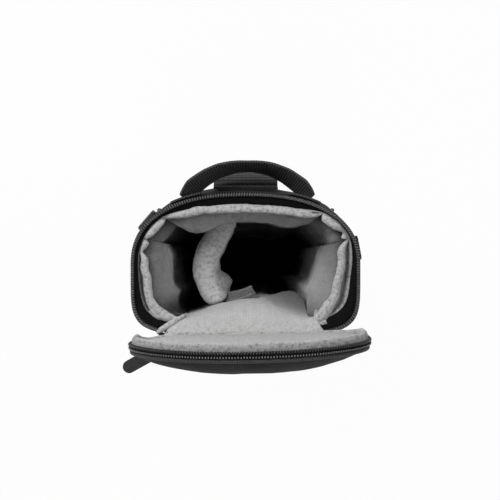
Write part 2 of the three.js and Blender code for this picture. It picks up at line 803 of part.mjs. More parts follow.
// The slider's own axes: X along the chain towards its closed end, Y outwards and Z up. Two plates
// are joined by a wedge that parts the rows, flanges hold the coil, and a bar carries the pull.
function sliderGeometry() {
  const parts = [];
  const flangeHeight = sliderHeight / 2 - chainHalfHeight - chainClearance;
  const flangeLevel = sliderHeight / 2 - flangeHeight / 2;
  const slotHalf = tapeThickness / 2 + chainClearance;
  for (const side of [-1, 1]) {
    const plate = new THREE.ExtrudeGeometry(roundedShape(sliderLength, sliderHeight, 2), {
      depth: plateThickness, bevelEnabled: false, curveSegments: 4,
    });
    plate.rotateX(Math.PI / 2);
    const outer = channelHalf + (side > 0 ? plateThickness : 0);
    parts.push(plate.translate(0, side > 0 ? outer : -channelHalf, 0));
    for (const level of [-flangeLevel, flangeLevel]) {
      const depth = channelHalf - slotHalf;
      parts.push(block(0, side * (slotHalf + depth / 2), level,
        sliderLength - 4, depth + plateOverlap, flangeHeight));
    }
    parts.push(block(0, postDistance - postReach / 2, side * (sliderHeight / 2 - postRadius),
      2 * postRadius, postReach + 3 * plateOverlap, armThickness));
  }
  const wedge = new THREE.CylinderGeometry(
    wedgeRadius, wedgeRadius, 2 * channelHalf + 2 * plateOverlap, 4,
  );
  parts.push(wedge.translate(-sliderLength / 2 + wedgeInset, 0, 0));
  const post = new THREE.CylinderGeometry(postRadius, postRadius, sliderHeight - 0.4, 8);
  parts.push(post.rotateX(Math.PI / 2).translate(0, postDistance, 0));
  const [first, ...rest] = parts.map(solidOf);
  return geometryOf(rest.reduce((sum, part) => sum.add(part), first));
}

// The joined end of the zipper, both rows meshed, with a stop at its far end.
function chainGeometry() {
  const count = Math.round((chainLength - stopLength) / toothPitch);
  const ring = (x, y, z) => [[-1, -1], [1, -1], [1, 1], [-1, 1]].map(([a, b]) => (
    new THREE.Vector3(x, a * y, b * z)));
  const half = toothWidth / 2;
  const rings = [];
  for (let i = 0; i <= 2 * count; i += 1) {
    const thick = i % 2 === 0 ? half : half * 0.6;
    rings.push(ring((i * toothPitch) / 2, thick, chainHalfHeight * (i % 2 === 0 ? 1 : 0.85)));
  }
  const stopStart = count * toothPitch + 0.2;
  rings.push(ring(stopStart, half + 0.2, chainHalfHeight));
  rings.push(ring(stopStart + stopLength, half + 0.2, chainHalfHeight));
  return loft(rings);
}

function pullGeometry() {
  const eye = postRadius + 0.4;
  const eyeOuter = eye + 1.2;
  const half = pullWidth / 2;
  const shape = new THREE.Shape();
  shape.absarc(0, 0, eyeOuter, radians(45), radians(315));
  const shoulder = pullNeckLength - pullShoulder;
  shape.lineTo(shoulder, -half + pullShoulderInset);
  shape.lineTo(pullNeckLength, -half);
  shape.absarc(pullLength, 0, half, -Math.PI / 2, Math.PI / 2);
  shape.lineTo(pullNeckLength, half);
  shape.lineTo(shoulder, half - pullShoulderInset);
  const hole = new THREE.Path();
  hole.absarc(0, 0, eye, 0, 2 * Math.PI, true);
  shape.holes.push(hole);
  const geometry = new THREE.ExtrudeGeometry(shape, {
    depth: pullThickness, bevelEnabled: false, curveSegments: 6,
  });
  return geometry.translate(0, 0, -pullThickness / 2);
}

function addSlider() {
  const { centre, along, outward } = wallFrame(rowEnd, mouthHeight - chainDrop);
  const slider = new THREE.Group();
  const basis = new THREE.Matrix4().makeBasis(along, outward, upright.clone().negate());
  slider.quaternion.setFromRotationMatrix(basis);
  slider.position.copy(centre).addScaledVector(outward, sliderHalfThickness + seamPipingRadius);
  group.add(slider);
  addPiece('zip_chain_end', chainGeometry(), coilPlastic(), slider);
  addPiece('zip_slider', sliderGeometry(), darkMetal(), slider);
  const tapeLow = chainHalfHeight + seatGap;
  addPiece('zip_end_tape', block(chainLength / 2, 0, tapeLow + endTapeHeight / 2,
    chainLength - 1, tapeThickness, endTapeHeight), zipTape(), slider);
  const pull = addPiece('zip_pull', pullGeometry(), softRubber());
  const post = new THREE.Vector3(0, postDistance, 0).applyQuaternion(slider.quaternion);
  pull.position.copy(slider.position).add(post);
  pull.rotation.z = radians(pullHeading);
}

addBody();
addPads();
const lid = addLid();
addZipper(lid);
addHingeFold();
addDivider();
addHandle();
addHandleAnchor('handle_anchor_left', -1);
addHandleAnchor('handle_anchor_right', 1);
addBeltLoop();
addStrapTab('right', hingeHalfLength + rightTabDistance);
addStrapTab('left', mouthLength - hingeHalfLength - leftTabDistance);
addSlider();

export default group;
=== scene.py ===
import json
import math

import bmesh
import bpy
import numpy as np
from bpy.props import FloatProperty, FloatVectorProperty, IntProperty, PointerProperty
from mathutils import Matrix, Vector, noise


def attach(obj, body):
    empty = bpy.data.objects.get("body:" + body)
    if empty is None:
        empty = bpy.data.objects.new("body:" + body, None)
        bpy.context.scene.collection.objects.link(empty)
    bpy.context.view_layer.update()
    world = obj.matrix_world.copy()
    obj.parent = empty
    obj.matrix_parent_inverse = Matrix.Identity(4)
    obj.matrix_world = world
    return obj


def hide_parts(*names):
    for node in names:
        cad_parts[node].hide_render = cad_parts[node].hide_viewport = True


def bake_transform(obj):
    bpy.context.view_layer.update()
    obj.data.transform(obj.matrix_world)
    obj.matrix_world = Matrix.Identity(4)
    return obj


bl_info = {
    "name": "Compact camera case",
    "version": (1, 0, 0),
    "blender": (4, 5, 0),
    "location": "3D View > Sidebar > Camera Case",
    "description": "Builds the soft parts, zipper and fittings of an open padded camera case",
    "category": "Add Mesh",
}

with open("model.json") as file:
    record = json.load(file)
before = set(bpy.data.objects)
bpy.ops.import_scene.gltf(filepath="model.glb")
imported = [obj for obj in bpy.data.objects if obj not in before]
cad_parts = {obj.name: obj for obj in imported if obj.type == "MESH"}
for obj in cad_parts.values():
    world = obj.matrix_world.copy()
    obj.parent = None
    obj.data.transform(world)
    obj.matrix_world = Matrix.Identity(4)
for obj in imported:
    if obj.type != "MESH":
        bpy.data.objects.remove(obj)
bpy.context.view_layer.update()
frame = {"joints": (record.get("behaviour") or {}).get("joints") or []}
JOINTS = {joint["name"]: joint for joint in frame["joints"]}
LID_OPEN_ANGLE = math.radians(-JOINTS["lid_hinge"]["range_deg"][0])
MM = 0.001
# Blender's noise is drawn anew by the clock unless it is given a seed other than 0
NOISE_SEED = 1

# How square the rounded outline is at the front and the back, and how the back fills out lower
FRONT_SQUARENESS = 5.5
BACK_SQUARENESS = 2.35
CORNER_FULLNESS = 0.1
# How the open lid hangs, with its lengths in millimetres: its shift to the right at the hinge, its
# lean to the right and its twist towards the back at the right, both for each millimetre, the
# share by which it is pulled narrower, how far its left corner by the hinge sags forwards, and
# how far both its ends bow back towards the case
LID_SHIFT = 1.6
LID_LEAN = 0.02
LID_TWIST = 0.019
LID_PULL = 0.012
LID_SAG = 2.6
LID_BOW = 2.0
# The handle as it hangs: its shift to the right, how far its ends lie inside its sewn ends and
# nearer the back, and how much further it arches out
HANDLE_SHIFT = 1.0
HANDLE_INSET = 1.9
HANDLE_SINK = 1.2
HANDLE_SLACK = 1.7
# How much further the belt loop's webbing stands off at its middle
BELT_SLACK = 1.7
# The slider: from the mouth down to its middle, its play on the coils, the thickness of its
# plates, and how far its bar stands off them
SLIDER_DROP = 6.2
SLIDER_PLAY = 0.5
SLIDER_PLATE = 1.0
SLIDER_BAR = 3.0
# Where the pull points, from the right turning to the back, in degrees
PULL_HEADING = -151


def length(name, default, description):
    """A length property in metres, given in millimetres."""
    return FloatProperty(
        name=name, description=description, default=default * MM, subtype="DISTANCE", unit="LENGTH"
    )


def colour(name, default, description):
    """A colour property."""
    return FloatVectorProperty(
        name=name, description=description, default=default, subtype="COLOR", size=3,
        min=0.0, max=1.0,
    )


class CaseSizes(bpy.types.PropertyGroup):
    """Lengths of the case, the same as those of its solids."""

    mouth_height: length("Mouth height", 130, "Height of the zipper's mouth above the base")
    mouth_half_width: length("Mouth half width", 65, "Half of the mouth from side to side")
    mouth_back: length("Mouth to back", 40.4, "From the middle of the mouth to its back")
    mouth_front: length("Mouth to front", 39.4, "From the middle of the mouth to the hinge")
    base_taper: length("Base taper", 7, "How far the walls draw in at the base")
    side_bulge: length("Side bulge", 5, "How far the sides swell at half height")
    back_bulge: length("Back bulge", 10, "How far the back swells at half height")
    front_bulge: length("Front bulge", 3, "How far the front swells at half height")
    fabric: length("Fabric", 1.6, "Thickness of the outer fabric")
    hinge_half: length("Hinge half length", 46, "Half of the folded edge that the lid turns on")
    pad_bottom: length("Pad bottom", 8.2, "Height at which the wall pads start")
    coil_width: length("Coil width", 2.4, "Width of one row of zipper coil")
    coil_height: length("Coil height", 1.5, "Height of one row of zipper coil")
    coil_pitch: length("Coil pitch", 1.5, "Distance from tooth to tooth")
    row_gap: length("Row gap", 0.3, "Distance of each row from the mouth plane")
    gusset_start: length("Gusset start", 2.1, "Where the lid's side band starts above the mouth")
    gusset_height: length("Gusset height", 4, "Top of the lid's side band above the mouth")
    lid_dome: length("Lid dome", 9.5, "Rise of the lid's top at its middle")
    base_piping: length("Base piping radius", 1.4, "Radius of the piping round the base")
    lid_piping: length("Lid piping radius", 1.1, "Radius of the piping round the lid")
    seam_piping: length("Seam piping radius", 1.2, "Radius of the piping down the corners")
    divider_drop: length("Divider drop", 30, "From the mouth down to the divider's top")
    handle_half_span: length("Handle half span", 39.5, "From the middle to a sewn end")
    handle_reach: length("Handle reach", 16.5, "How far the handle arches out from its ends")
    handle_width: length("Handle width", 20, "Width of the handle's webbing")
    handle_thickness: length("Handle thickness", 2.2, "Thickness of the handle's webbing")
    handle_drop: length("Handle drop", 12, "From the mouth down to the handle's ends")
    handle_stand_off: length("Handle stand-off", 3.6, "From the back to the handle's ends")
    belt_width: length("Belt loop width", 38, "Width of the belt loop's webbing")
    belt_thickness: length("Belt loop thickness", 2, "Thickness of the belt loop's webbing")
    belt_reach: length("Belt loop reach", 6.5, "How far the belt loop stands off the back")
    belt_bottom: length("Belt loop bottom", 36, "Height of the belt loop's lower seam")
    belt_top_drop: length("Belt loop top drop", 18, "From the mouth to the belt loop's upper seam")
    belt_seam: length("Belt loop seam", 8, "Length of the belt loop's sewn ends")
    tab_width: length("Strap tab width", 14, "Width of the shoulder strap's tabs")
    tab_thickness: length("Strap tab thickness", 0.8, "Thickness of the tabs' webbing")
    tab_opening: length("Strap tab opening", 0.2, "Gap inside the loops of the tabs")
    tab_drop: length("Strap tab drop", 9, "From the mouth to the tops of the tabs")
    tab_length: length("Strap tab length", 24, "Height of the folded tabs")
    right_tab: length("Right tab place", 59, "Along the mouth from the hinge's end to the tab")
    left_tab: length("Left tab place", 76.5, "Along the mouth from the hinge's end to the tab")
    pull_length: length("Pull length", 22.5, "From the pull's eye to the centre of its round end")
    pull_width: length("Pull width", 7.5, "Width of the rubber pull")
    pull_thickness: length("Pull thickness", 2.2, "Thickness of the rubber pull")


class CaseColours(bpy.types.PropertyGroup):
    """Colours and finish of the case's materials."""

    lining: colour("Lining", (0.6, 0.6, 0.598), "Brushed light grey lining")
    # Nearly black: painted shade for the floor deep inside the case, and for the back hook tab
    floor_lining: colour("Floor lining", (0.006, 0.006, 0.007), "Dark lining on the floor")
    fabric: colour("Outer fabric", (0.008, 0.008, 0.0083), "Black woven nylon")
    webbing: colour("Webbing", (0.044, 0.044, 0.045), "Black ribbed webbing")
    belt: colour("Belt loop", (0.008, 0.008, 0.0083), "Black ribbed webbing of the belt loop")
    tape: colour("Zip tape", (0.002, 0.002, 0.0022), "Black woven tape")
    coil: colour("Zip coil", (0.006, 0.006, 0.0065), "Black nylon coil")
    # The colour of the coil's painted highlight on its crowns
    painted_coil_highlight: colour("Rubbed coil", (0.22, 0.22, 0.224), "Crowns of the coil, rubbed pale")
    metal: colour("Dark metal", (0.045, 0.045, 0.047), "Dark coated metal")
    rubber: colour("Rubber", (0.03, 0.03, 0.032), "Moulded soft rubber")
    hook_tape: colour("Hook tape", (0.15, 0.15, 0.15), "Grey hook tape of the divider's front tab")
    thread: colour("Thread", (0.5, 0.5, 0.49), "Pale sewing thread")
    fray: IntProperty(name="Fray", description="Seed of the cloth's unevenness", default=7, min=0)


class CameraCaseSettings(bpy.types.PropertyGroup):
    """Everything that a user can change about the case."""

    sizes: PointerProperty(type=CaseSizes)
    colours: PointerProperty(type=CaseColours)


def smooth_table(values, table):
    """Reads a table of (place, value) pairs with a smooth curve through its rows."""
    knots, heights = (np.array(column, float) for column in zip(*table))
    slopes = np.gradient(heights, knots)
    flat = np.zeros_like(slopes, bool)
    flat[1:-1] = (heights[1:-1] - heights[:-2]) * (heights[2:] - heights[1:-1]) <= 0
    slopes[flat] = 0
    values = np.clip(np.asarray(values, float), knots[0], knots[-1])
    i = np.clip(np.searchsorted(knots, values, "right") - 1, 0, len(knots) - 2)
    step = knots[i + 1] - knots[i]
    t = (values - knots[i]) / step
    return (
        heights[i] * (1 + 2 * t) * (1 - t) ** 2 + slopes[i] * step * t * (1 - t) ** 2
        + heights[i + 1] * t * t * (3 - 2 * t) + slopes[i + 1] * step * t * t * (t - 1)
    )


def smooth_rows(rows, count):
    """The columns of a list of points, read at evenly spaced places with a smooth curve."""
    places = np.linspace(0, len(rows) - 1, count)
    return [smooth_table(places, list(enumerate(column))) for column in zip(*rows)]


class CaseForm:
    """The case's walls as rounded outlines, in millimetres."""

    def __init__(self, context):
        sizes = context.scene.camera_case.sizes
        for name in CaseSizes.__annotations__:
            setattr(self, name, getattr(sizes, name) / MM)
        self.mouth = (self.mouth_half_width, self.mouth_back, self.mouth_front, BACK_SQUARENESS)
        self.turns = np.linspace(-math.pi / 2, 1.5 * math.pi, 2881)
        x, y = self.outline(self.turns, self.mouth, 0)
        self.run = np.concatenate([[0], np.cumsum(np.hypot(np.diff(x), np.diff(y)))])
        self.mouth_length = self.run[-1]

    def reach(self, z):
        """The outline's reach to the side, back and front at a height, and its squareness."""
        share = np.clip(np.asarray(z, float) / self.mouth_height, 0, 1)
        swell = np.sin(math.pi * share)
        taper = self.base_taper * (1 - share)
        return (
            self.mouth_half_width - taper + self.side_bulge * swell,
            self.mouth_back - taper + self.back_bulge * swell,
            self.mouth_front - taper + self.front_bulge * swell,
            BACK_SQUARENESS + CORNER_FULLNESS * swell,
        )

    @staticmethod
    def outline(turn, reach, depth):
        """Points of an outline at these turns, drawn in by a depth."""
        side, back, front, squareness = reach
        cos, sin = np.cos(turn), np.sin(turn)
        ahead = np.where(sin >= 0, back, front) - depth
        power = np.where(sin >= 0, squareness, FRONT_SQUARENESS)
        stretch = np.abs(cos / (side - depth)) ** power + np.abs(sin / ahead) ** power
        radius = stretch ** (-1 / power)
        return radius * cos, radius * sin

    def turn(self, distance):
        """The turn about the middle at a distance along the mouth from the middle of the hinge."""
        return np.interp(np.mod(distance, self.mouth_length), self.run, self.turns)

    def wall(self, distance, depth, z):
        """Points at a distance along the mouth, a depth inside the wall and a height."""
        x, y = self.outline(self.turn(distance), self.reach(z), depth)
        return np.stack(np.broadcast_arrays(x, y, np.asarray(z, float)), -1)

    def lid(self, distance, depth, away):
        """Points of the lid as it stands open, given as it lies closed over the mouth."""
        x, y = self.outline(self.turn(distance), self.mouth, depth)
        return self.opened(x, y, away)

    def opened(self, x, y, away):
        """Points of the closed lid, turned about the hinge as far as it stands open at rest."""
        y = y + self.mouth_front
        x = x * (1 - LID_PULL) + LID_SHIFT + LID_LEAN * y
        cos, sin = math.cos(LID_OPEN_ANGLE), math.sin(LID_OPEN_ANGLE)
        z = np.asarray(away, float)
        sag = LID_SAG * np.clip((-x - 42) / 12, 0, 1) * np.clip(1 - y / 45, 0, 1)
        bow = LID_BOW * (x / self.mouth_half_width) ** 2 * np.clip(y / 30, 0, 1)
        twist = LID_TWIST * x * np.clip(y / 6, 0, 1)
        ahead = y * cos - z * sin - self.mouth_front + twist - sag + bow
        return np.stack(np.broadcast_arrays(x, ahead, y * sin + z * cos + self.mouth_height), -1)

    def back_surface(self, x, z):
        """How far back the wall stands at a place across it and a height."""
        side, back, _, squareness = self.reach(z)
        return back * (1 - np.abs(x / side) ** squareness) ** (1 / squareness)


def lumps(points, amount, size, seed):
    """How far each point moves in a wave of this height and size, smoothly from place to place
    and the same in every run."""
    noise.seed_set(NOISE_SEED)
    place = Vector((seed * 3.1, seed * 1.7, seed))
    moved = [noise.noise_vector(Vector(p) / size + place) for p in points.reshape(-1, 3)]
    return amount * np.array(moved).reshape(points.shape)


def roughened(points, *waves):
    """Points moved by waves of a height, a size and a seed, as cloth is never quite even."""
    return points + sum(lumps(points, *wave) for wave in waves)


def disc_rings(outline, shares, rises):
    """Rings from the middle outwards to an outline, each lifted by its own rise."""
    return [outline * (share, share, 1) + (0, 0, rise) for share, rise in zip(shares, rises)]


def finish_mesh(name, vertices, faces, uvs, smooth_angle=None):
    """An object from points in millimetres, its faces outwards, with the UV map in metres."""
    mesh = bpy.data.meshes.new(name)
    mesh.from_pydata((np.asarray(vertices) * MM).tolist(), [], faces)
    layer = mesh.uv_layers.new(name="UVMap")
    if uvs is not None:
        layer.data.foreach_set("uv", (np.asarray(uvs, np.float32) * MM).ravel())
    work = bmesh.new()
    work.from_mesh(mesh)
    if work.calc_volume(signed=True) < 0:
        bmesh.ops.reverse_faces(work, faces=work.faces)
    work.to_mesh(mesh)
    work.free()
    mesh.shade_smooth()
    piece = bpy.data.objects.new(name, mesh)
    bpy.context.collection.objects.link(piece)
    if smooth_angle is not None:
        only(piece)
        bpy.ops.object.shade_smooth_by_angle(angle=math.radians(smooth_angle))
    return piece


def grid_faces(rings, ring=False):
    """Points, faces and UV map of a closed body through sections: rings[i][j], each section a
    closed line of points. With ring, the last section joins the first. Otherwise both ends are
    closed."""
    rings = np.asarray(rings, float)
    count, around = rings.shape[:2]
    index = np.arange(count * around).reshape(count, around)
    rows = np.arange(count if ring else count - 1)
    following = (rows + 1) % count
    a, b = index[rows], index[following]
    faces = np.stack([a, np.roll(a, -1, 1), np.roll(b, -1, 1), b], -1).reshape(-1, 4)
    closed = np.concatenate([rings, rings[:, :1]], 1)
    section = np.linalg.norm(np.diff(closed, axis=1), axis=2)
    v = np.concatenate([np.zeros((count, 1)), np.cumsum(section, 1)], 1)
    v -= v[:, around // 2][:, None]
    steps = np.linalg.norm(np.roll(rings, -1, 0) - rings, axis=2).mean(1)
    u = np.concatenate([[0], np.cumsum(steps)])
    columns = np.arange(around)
    near, far = (np.repeat(side[:, None], around, 1) for side in (u[rows], u[rows + 1]))
    corner_u = np.stack([near, near, far, far], -1)
    corner_v = np.stack([
        v[rows][:, columns], v[rows][:, columns + 1],
        v[following][:, columns + 1], v[following][:, columns],
    ], -1)
    uvs = np.stack([corner_u, corner_v], -1).reshape(-1, 2)
    faces = faces.tolist()
    if not ring:
        for end, turn in ((0, -1), (count - 1, 1)):
            faces.append(index[end][::turn].tolist())
            at = np.stack([np.full(around, u[end]), v[end][:around]], -1)[::turn]
            uvs = np.concatenate([uvs, at])
    return rings.reshape(-1, 3), faces, uvs


def grid_mesh(name, rings, ring=False, smooth_angle=None):
    """A closed body through sections."""
    return finish_mesh(name, *grid_faces(rings, ring), smooth_angle)


def many_bodies(name, bodies):
    """One object from several closed bodies, each given by its sections."""
    points, faces, uvs, offset = [], [], [], 0
    for rings in bodies:
        some_points, some_faces, some_uvs = grid_faces(rings)
        points.append(some_points)
        faces += [[i + offset for i in face] for face in some_faces]
        uvs.append(some_uvs)
        offset += len(some_points)
    return finish_mesh(name, np.concatenate(points), faces, np.concatenate(uvs))


def stitches(name, places, half, radius, rise):
    """A row of stitches: short threads that dip into the cloth at both ends. Each place is its
    middle, the direction of the seam and the direction out of the cloth."""
    steps = np.linspace(-half, half, 5)[:, None]
    arch = rise * (1 - (steps / half) ** 2)
    return many_bodies(name, [
        tube_rings(middle + steps * ahead + arch * out, radius, 5, out)
        for middle, ahead, out in places
    ])


def along_path(points, closed=False):
    """Unit directions along a line of points."""
    points = np.asarray(points, float)
    if closed:
        ahead = np.roll(points, -1, 0) - np.roll(points, 1, 0)
    else:
        ahead = np.gradient(points, axis=0)
    return ahead / np.linalg.norm(ahead, axis=1)[:, None]


def tube_rings(points, radius, sides, up, closed=False):
    """Round sections along a line, square to it, for a cord or a wire."""
    points = np.asarray(points, float)
    ahead = along_path(points, closed)
    side = np.cross(ahead, np.broadcast_to(up, ahead.shape))
    side /= np.linalg.norm(side, axis=1)[:, None]
    top = np.cross(side, ahead)
    turns = np.linspace(0, 2 * math.pi, sides, endpoint=False)
    radius = np.broadcast_to(radius, len(points))[:, None, None]
    return points[:, None] + radius * (
        side[:, None] * np.cos(turns)[None, :, None] + top[:, None] * np.sin(turns)[None, :, None]
    )


def strap_rings(points, width, across, thickness, crown=0.15, columns=9):
    """Sections of a flat strap: a rectangle with soft edges and a little crown."""
    points = np.asarray(points, float)
    ahead = along_path(points)
    across = np.broadcast_to(across, ahead.shape)
    across = across - ahead * np.sum(across * ahead, 1)[:, None]
    across = across / np.linalg.norm(across, axis=1)[:, None]
    out = np.cross(ahead, across)
    share = np.linspace(-1, 1, columns)
    edge = 0.5 * (1 - np.abs(share) ** 10 * 0.45) + crown * (1 - share ** 2)
    sideways = np.concatenate([share, share[::-1]])[None, :, None]
    outwards = np.concatenate([edge, -edge[::-1]])[None, :, None]
    width = np.broadcast_to(width, len(points))[:, None, None]
    return (points[:, None] + 0.5 * width * sideways * across[:, None]
            + thickness * outwards * out[:, None])


def only(piece):
    """Selects this piece alone, for an operator that works on the selection."""
    bpy.ops.object.select_all(action="DESELECT")
    piece.select_set(True)
    bpy.context.view_layer.objects.active = piece


def joined(name, pieces):
    """Several objects made one."""
    bpy.ops.object.select_all(action="DESELECT")
    for piece in pieces:
        piece.select_set(True)
    bpy.context.view_layer.objects.active = pieces[0]
    bpy.ops.object.join()
    pieces[0].name = name
    return pieces[0]


class Finish:
    """A procedural material, built from the coordinates up to its shader."""

    def __init__(self, name, **constants):
        self.material = bpy.data.materials.new(name)
        self.material.use_nodes = True
        self.tree = self.material.node_tree
        self.shader = self.tree.nodes["Principled BSDF"]
        for socket, value in constants.items():
            self.shader.inputs[socket.replace("_", " ")].default_value = value
        self.coordinates = self.tree.nodes.new("ShaderNodeTexCoord")

    def node(self, kind, settings=(), **inputs):
        """Adds a node with its settings, its inputs given by name or by number, as _0."""
        made = self.tree.nodes.new(kind)
        for name, value in dict(settings).items():
            setattr(made, name, value)
        for name, value in inputs.items():
            socket = made.inputs[int(name[1:])] if name[1:].isdigit() else made.inputs[name]
            self.feed(socket, value)
        return made

    def feed(self, socket, value):
        """Gives an input a value, or links it to another node's output."""
        if isinstance(value, bpy.types.NodeSocket):
            self.tree.links.new(value, socket)
        else:
            socket.default_value = value

    def math(self, operation, a, b=0.0):
        """Adds, multiplies or otherwise combines two values."""
        return self.node("ShaderNodeMath", {"operation": operation}, _0=a, _1=b).outputs[0]

    def place(self, source="Object"):
        """Object coordinates or the piece's own map, in millimetres."""
        scaled = self.node("ShaderNodeVectorMath", {"operation": "SCALE"},
                           _0=self.coordinates.outputs[source])
        scaled.inputs["Scale"].default_value = 1 / MM
        return scaled.outputs[0]

    def axes(self, vector):
        """The three coordinates of a place."""
        return self.node("ShaderNodeSeparateXYZ", Vector=vector).outputs

    def cloud(self, vector, size, detail=2.0, rough=0.55):
        """Soft random patches of a size in millimetres, mostly between 0.3 and 0.7."""
        made = self.node("ShaderNodeTexNoise", Vector=vector, Scale=1 / size,
                         Detail=detail, Roughness=rough)
        return made.outputs["Fac"]

    def ribs(self, value, pitch):
        """Rounded ribs from 0 to 1, one in each pitch."""
        wave = self.math("SINE", self.math("MULTIPLY", value, 2 * math.pi / pitch))
        made = self.node("ShaderNodeMath", {"operation": "MULTIPLY_ADD"}, _0=wave, _1=0.5, _2=0.5)
        return made.outputs[0]

    def attribute(self, name):
        """The number that a piece stores for each of its points."""
        return self.node("ShaderNodeAttribute", {"attribute_name": name}).outputs["Fac"]

    def blend(self, share, low, high):
        """Goes from one colour to another."""
        made = self.node("ShaderNodeMix", {"data_type": "RGBA"}, Factor=share)
        for socket, value in ((made.inputs[6], low), (made.inputs[7], high)):
            self.feed(socket, value if isinstance(value, bpy.types.NodeSocket) else (*value, 1))
        return made.outputs[2]

    def darker(self, tone, factor):
        """A colour times a number that changes over the surface."""
        made = self.node("ShaderNodeVectorMath", {"operation": "SCALE"}, _0=tone)
        self.feed(made.inputs["Scale"], factor)
        return made.outputs[0]

    def between(self, value, low, high, to_low=0.0, to_high=1.0):
        """Spreads the values between two limits over two others, and cuts off those outside."""
        made = self.node("ShaderNodeMapRange", {"clamp": True}, _0=value, _1=low, _2=high,
                         _3=to_low, _4=to_high)
        return made.outputs[0]

    def relief(self, height, depth, strength=1.0):
        """A bump of this height in millimetres."""
        made = self.node("ShaderNodeBump", Height=height, Strength=strength)
        made.inputs["Distance"].default_value = depth * MM
        self.feed(self.shader.inputs["Normal"], made.outputs[0])

    def paint(self, colour_socket):
        """Colours the surface, and gives the finished material."""
        self.feed(self.shader.inputs["Base Color"], colour_socket)
        return self.material


def shade(colour_value, factor):
    """A colour times a number, no brighter than white."""
    return tuple(min(1.0, c * factor) for c in colour_value)


def lining_finish(colours, name, base=None, wear_and_painted_light=False, rib=0.9, knit=1.0, mottle=0.4):
    """Brushed knit: fine ribs down the wall, a soft nap, and darker clouds of flattened pile.
    With the flag set, the cloth takes the piece's own tone attribute as painted light and shade,
    and is mottled by its fuzz attribute."""
    base = tuple(base or colours.lining)
    made = Finish(name, Roughness=0.95, Sheen_Weight=0.12, Sheen_Roughness=0.6,
                  Specular_IOR_Level=0.1)
    along, down, _ = made.axes(made.place("UV"))
    solid = made.place()
    drift = made.cloud(solid, 5.0)
    nap = made.cloud(solid, 0.75, 4.0, 0.7)
    tufts = made.cloud(solid, 1.9, 3.0, 0.65)
    wavy = made.math("ADD", along, made.math("MULTIPLY", drift, 0.8))
    ribs = made.ribs(wavy, rib)
    loops = made.ribs(down, rib * 1.3)
    pile = made.math("MULTIPLY", nap, 1.1)
    height = made.math("ADD", made.math("MULTIPLY", ribs, 0.4 * knit), pile)
    height = made.math("ADD", height, made.math("MULTIPLY", tufts, 1.2))
    made.relief(height, 0.4, 0.8)
    tone = made.blend(made.between(nap, 0.32, 0.68), shade(base, 0.78), shade(base, 1.12))
    loops = made.math("MULTIPLY", made.math("MULTIPLY", ribs, loops), 0.3 * knit)
    tone = made.blend(loops, tone, shade(base, 1.25))
    if wear_and_painted_light:
        mottle = made.math("MULTIPLY", made.attribute("fuzz"), mottle)
    tone = made.blend(made.between(tufts, 0.48, 0.64, 0, mottle), tone, shade(base, 0.42))
    tone = made.blend(made.between(drift, 0.4, 0.75, 0, 0.35), tone, shade(base, 0.72))
    # Painted light and shade from the piece's tone attribute
    if wear_and_painted_light:
        tone = made.darker(tone, made.attribute("tone"))
    return made.paint(tone)


def fabric_finish(colours, name):
    """Black woven nylon: a plain weave of fine yarns with a heavier yarn every few millimetres."""
    base = tuple(colours.fabric)
    made = Finish(name, Roughness=0.8, Sheen_Weight=0.03, Sheen_Roughness=0.4,
                  Specular_IOR_Level=0.22)
    along, down, _ = made.axes(made.place("UV"))
    warp = made.ribs(along, 0.8)
    weft = made.ribs(down, 0.8)
    weave = made.math("ABSOLUTE", made.math("SUBTRACT", warp, weft))
    cells = [made.math("PINGPONG", value, 3.0) for value in (along, down)]
    grid = made.between(made.math("MINIMUM", *cells), 0.0, 0.28, 1.0, 0.0)
    solid = made.place()
    wear_and_painted_light = made.cloud(solid, 9.0, 4.0)
    fleck = made.cloud(solid, 0.5, 2.0, 0.7)
    height = made.math("ADD", made.math("MULTIPLY", weave, 0.7), made.math("MULTIPLY", grid, 0.5))
    height = made.math("ADD", height, made.math("MULTIPLY", made.cloud(solid, 14.0, 1.0), 9.0))
    made.relief(height, 0.18, 0.9)
    tone = made.blend(weave, shade(base, 0.6), shade(base, 1.35))
    tone = made.blend(made.math("MULTIPLY", grid, 0.5), tone, shade(base, 1.9))
    tone = made.blend(made.between(fleck, 0.58, 0.8, 0, 0.6), tone, shade(base, 3.4))
    tone = made.blend(made.between(wear_and_painted_light, 0.45, 0.75, 0, 0.3), tone, shade(base, 2.2))
    return made.paint(tone)


def webbing_finish(colours, name, rib=1.5, base=None, contrast=2.4):
    """Ribbed webbing: rounded ribs across the strap and finer yarns along it."""
    base = tuple(base or colours.webbing)
    made = Finish(name, Roughness=0.7, Sheen_Weight=0.04, Sheen_Roughness=0.35,
                  Specular_IOR_Level=0.25)
    along, across, _ = made.axes(made.place("UV"))
    rows = made.ribs(along, rib)
    yarns = made.ribs(across, rib * 0.8)
    solid = made.place()
    fleck = made.cloud(solid, 0.6, 2.0, 0.7)
    wear_and_painted_light = made.cloud(solid, 7.0, 3.0)
    height = made.math("ADD", rows, made.math("MULTIPLY", yarns, 0.35))
    made.relief(height, 0.3, 0.85)
    tone = made.blend(rows, shade(base, 0.35), shade(base, contrast * 0.75))
    tone = made.blend(made.math("MULTIPLY", yarns, 0.3), tone, shade(base, contrast))
    tone = made.blend(made.between(fleck, 0.55, 0.8, 0, 0.5), tone, shade(base, contrast * 1.3))
    tone = made.blend(made.between(wear_and_painted_light, 0.5, 0.8, 0, 0.3), tone, shade(base, contrast * 0.9))
    return made.paint(tone)


def tape_finish(colours, name):
    """Zip tape: a tight herringbone, dull and darker than the coil."""
    base = tuple(colours.tape)
    made = Finish(name, Roughness=0.85, Specular_IOR_Level=0.2)
    along, across, _ = made.axes(made.place("UV"))
    zigzag = made.math("PINGPONG", across, 1.2)
    slanted = made.math("ADD", along, zigzag)
    twill = made.ribs(slanted, 0.7)
    fluff = made.cloud(made.place(), 0.8, 3.0, 0.7)
    made.relief(made.math("ADD", twill, fluff), 0.12, 0.7)
    tone = made.blend(twill, shade(base, 0.5), shade(base, 1.6))
    tone = made.blend(made.between(fluff, 0.6, 0.85, 0, 0.4), tone, shade(base, 4.0))
    return made.paint(tone)


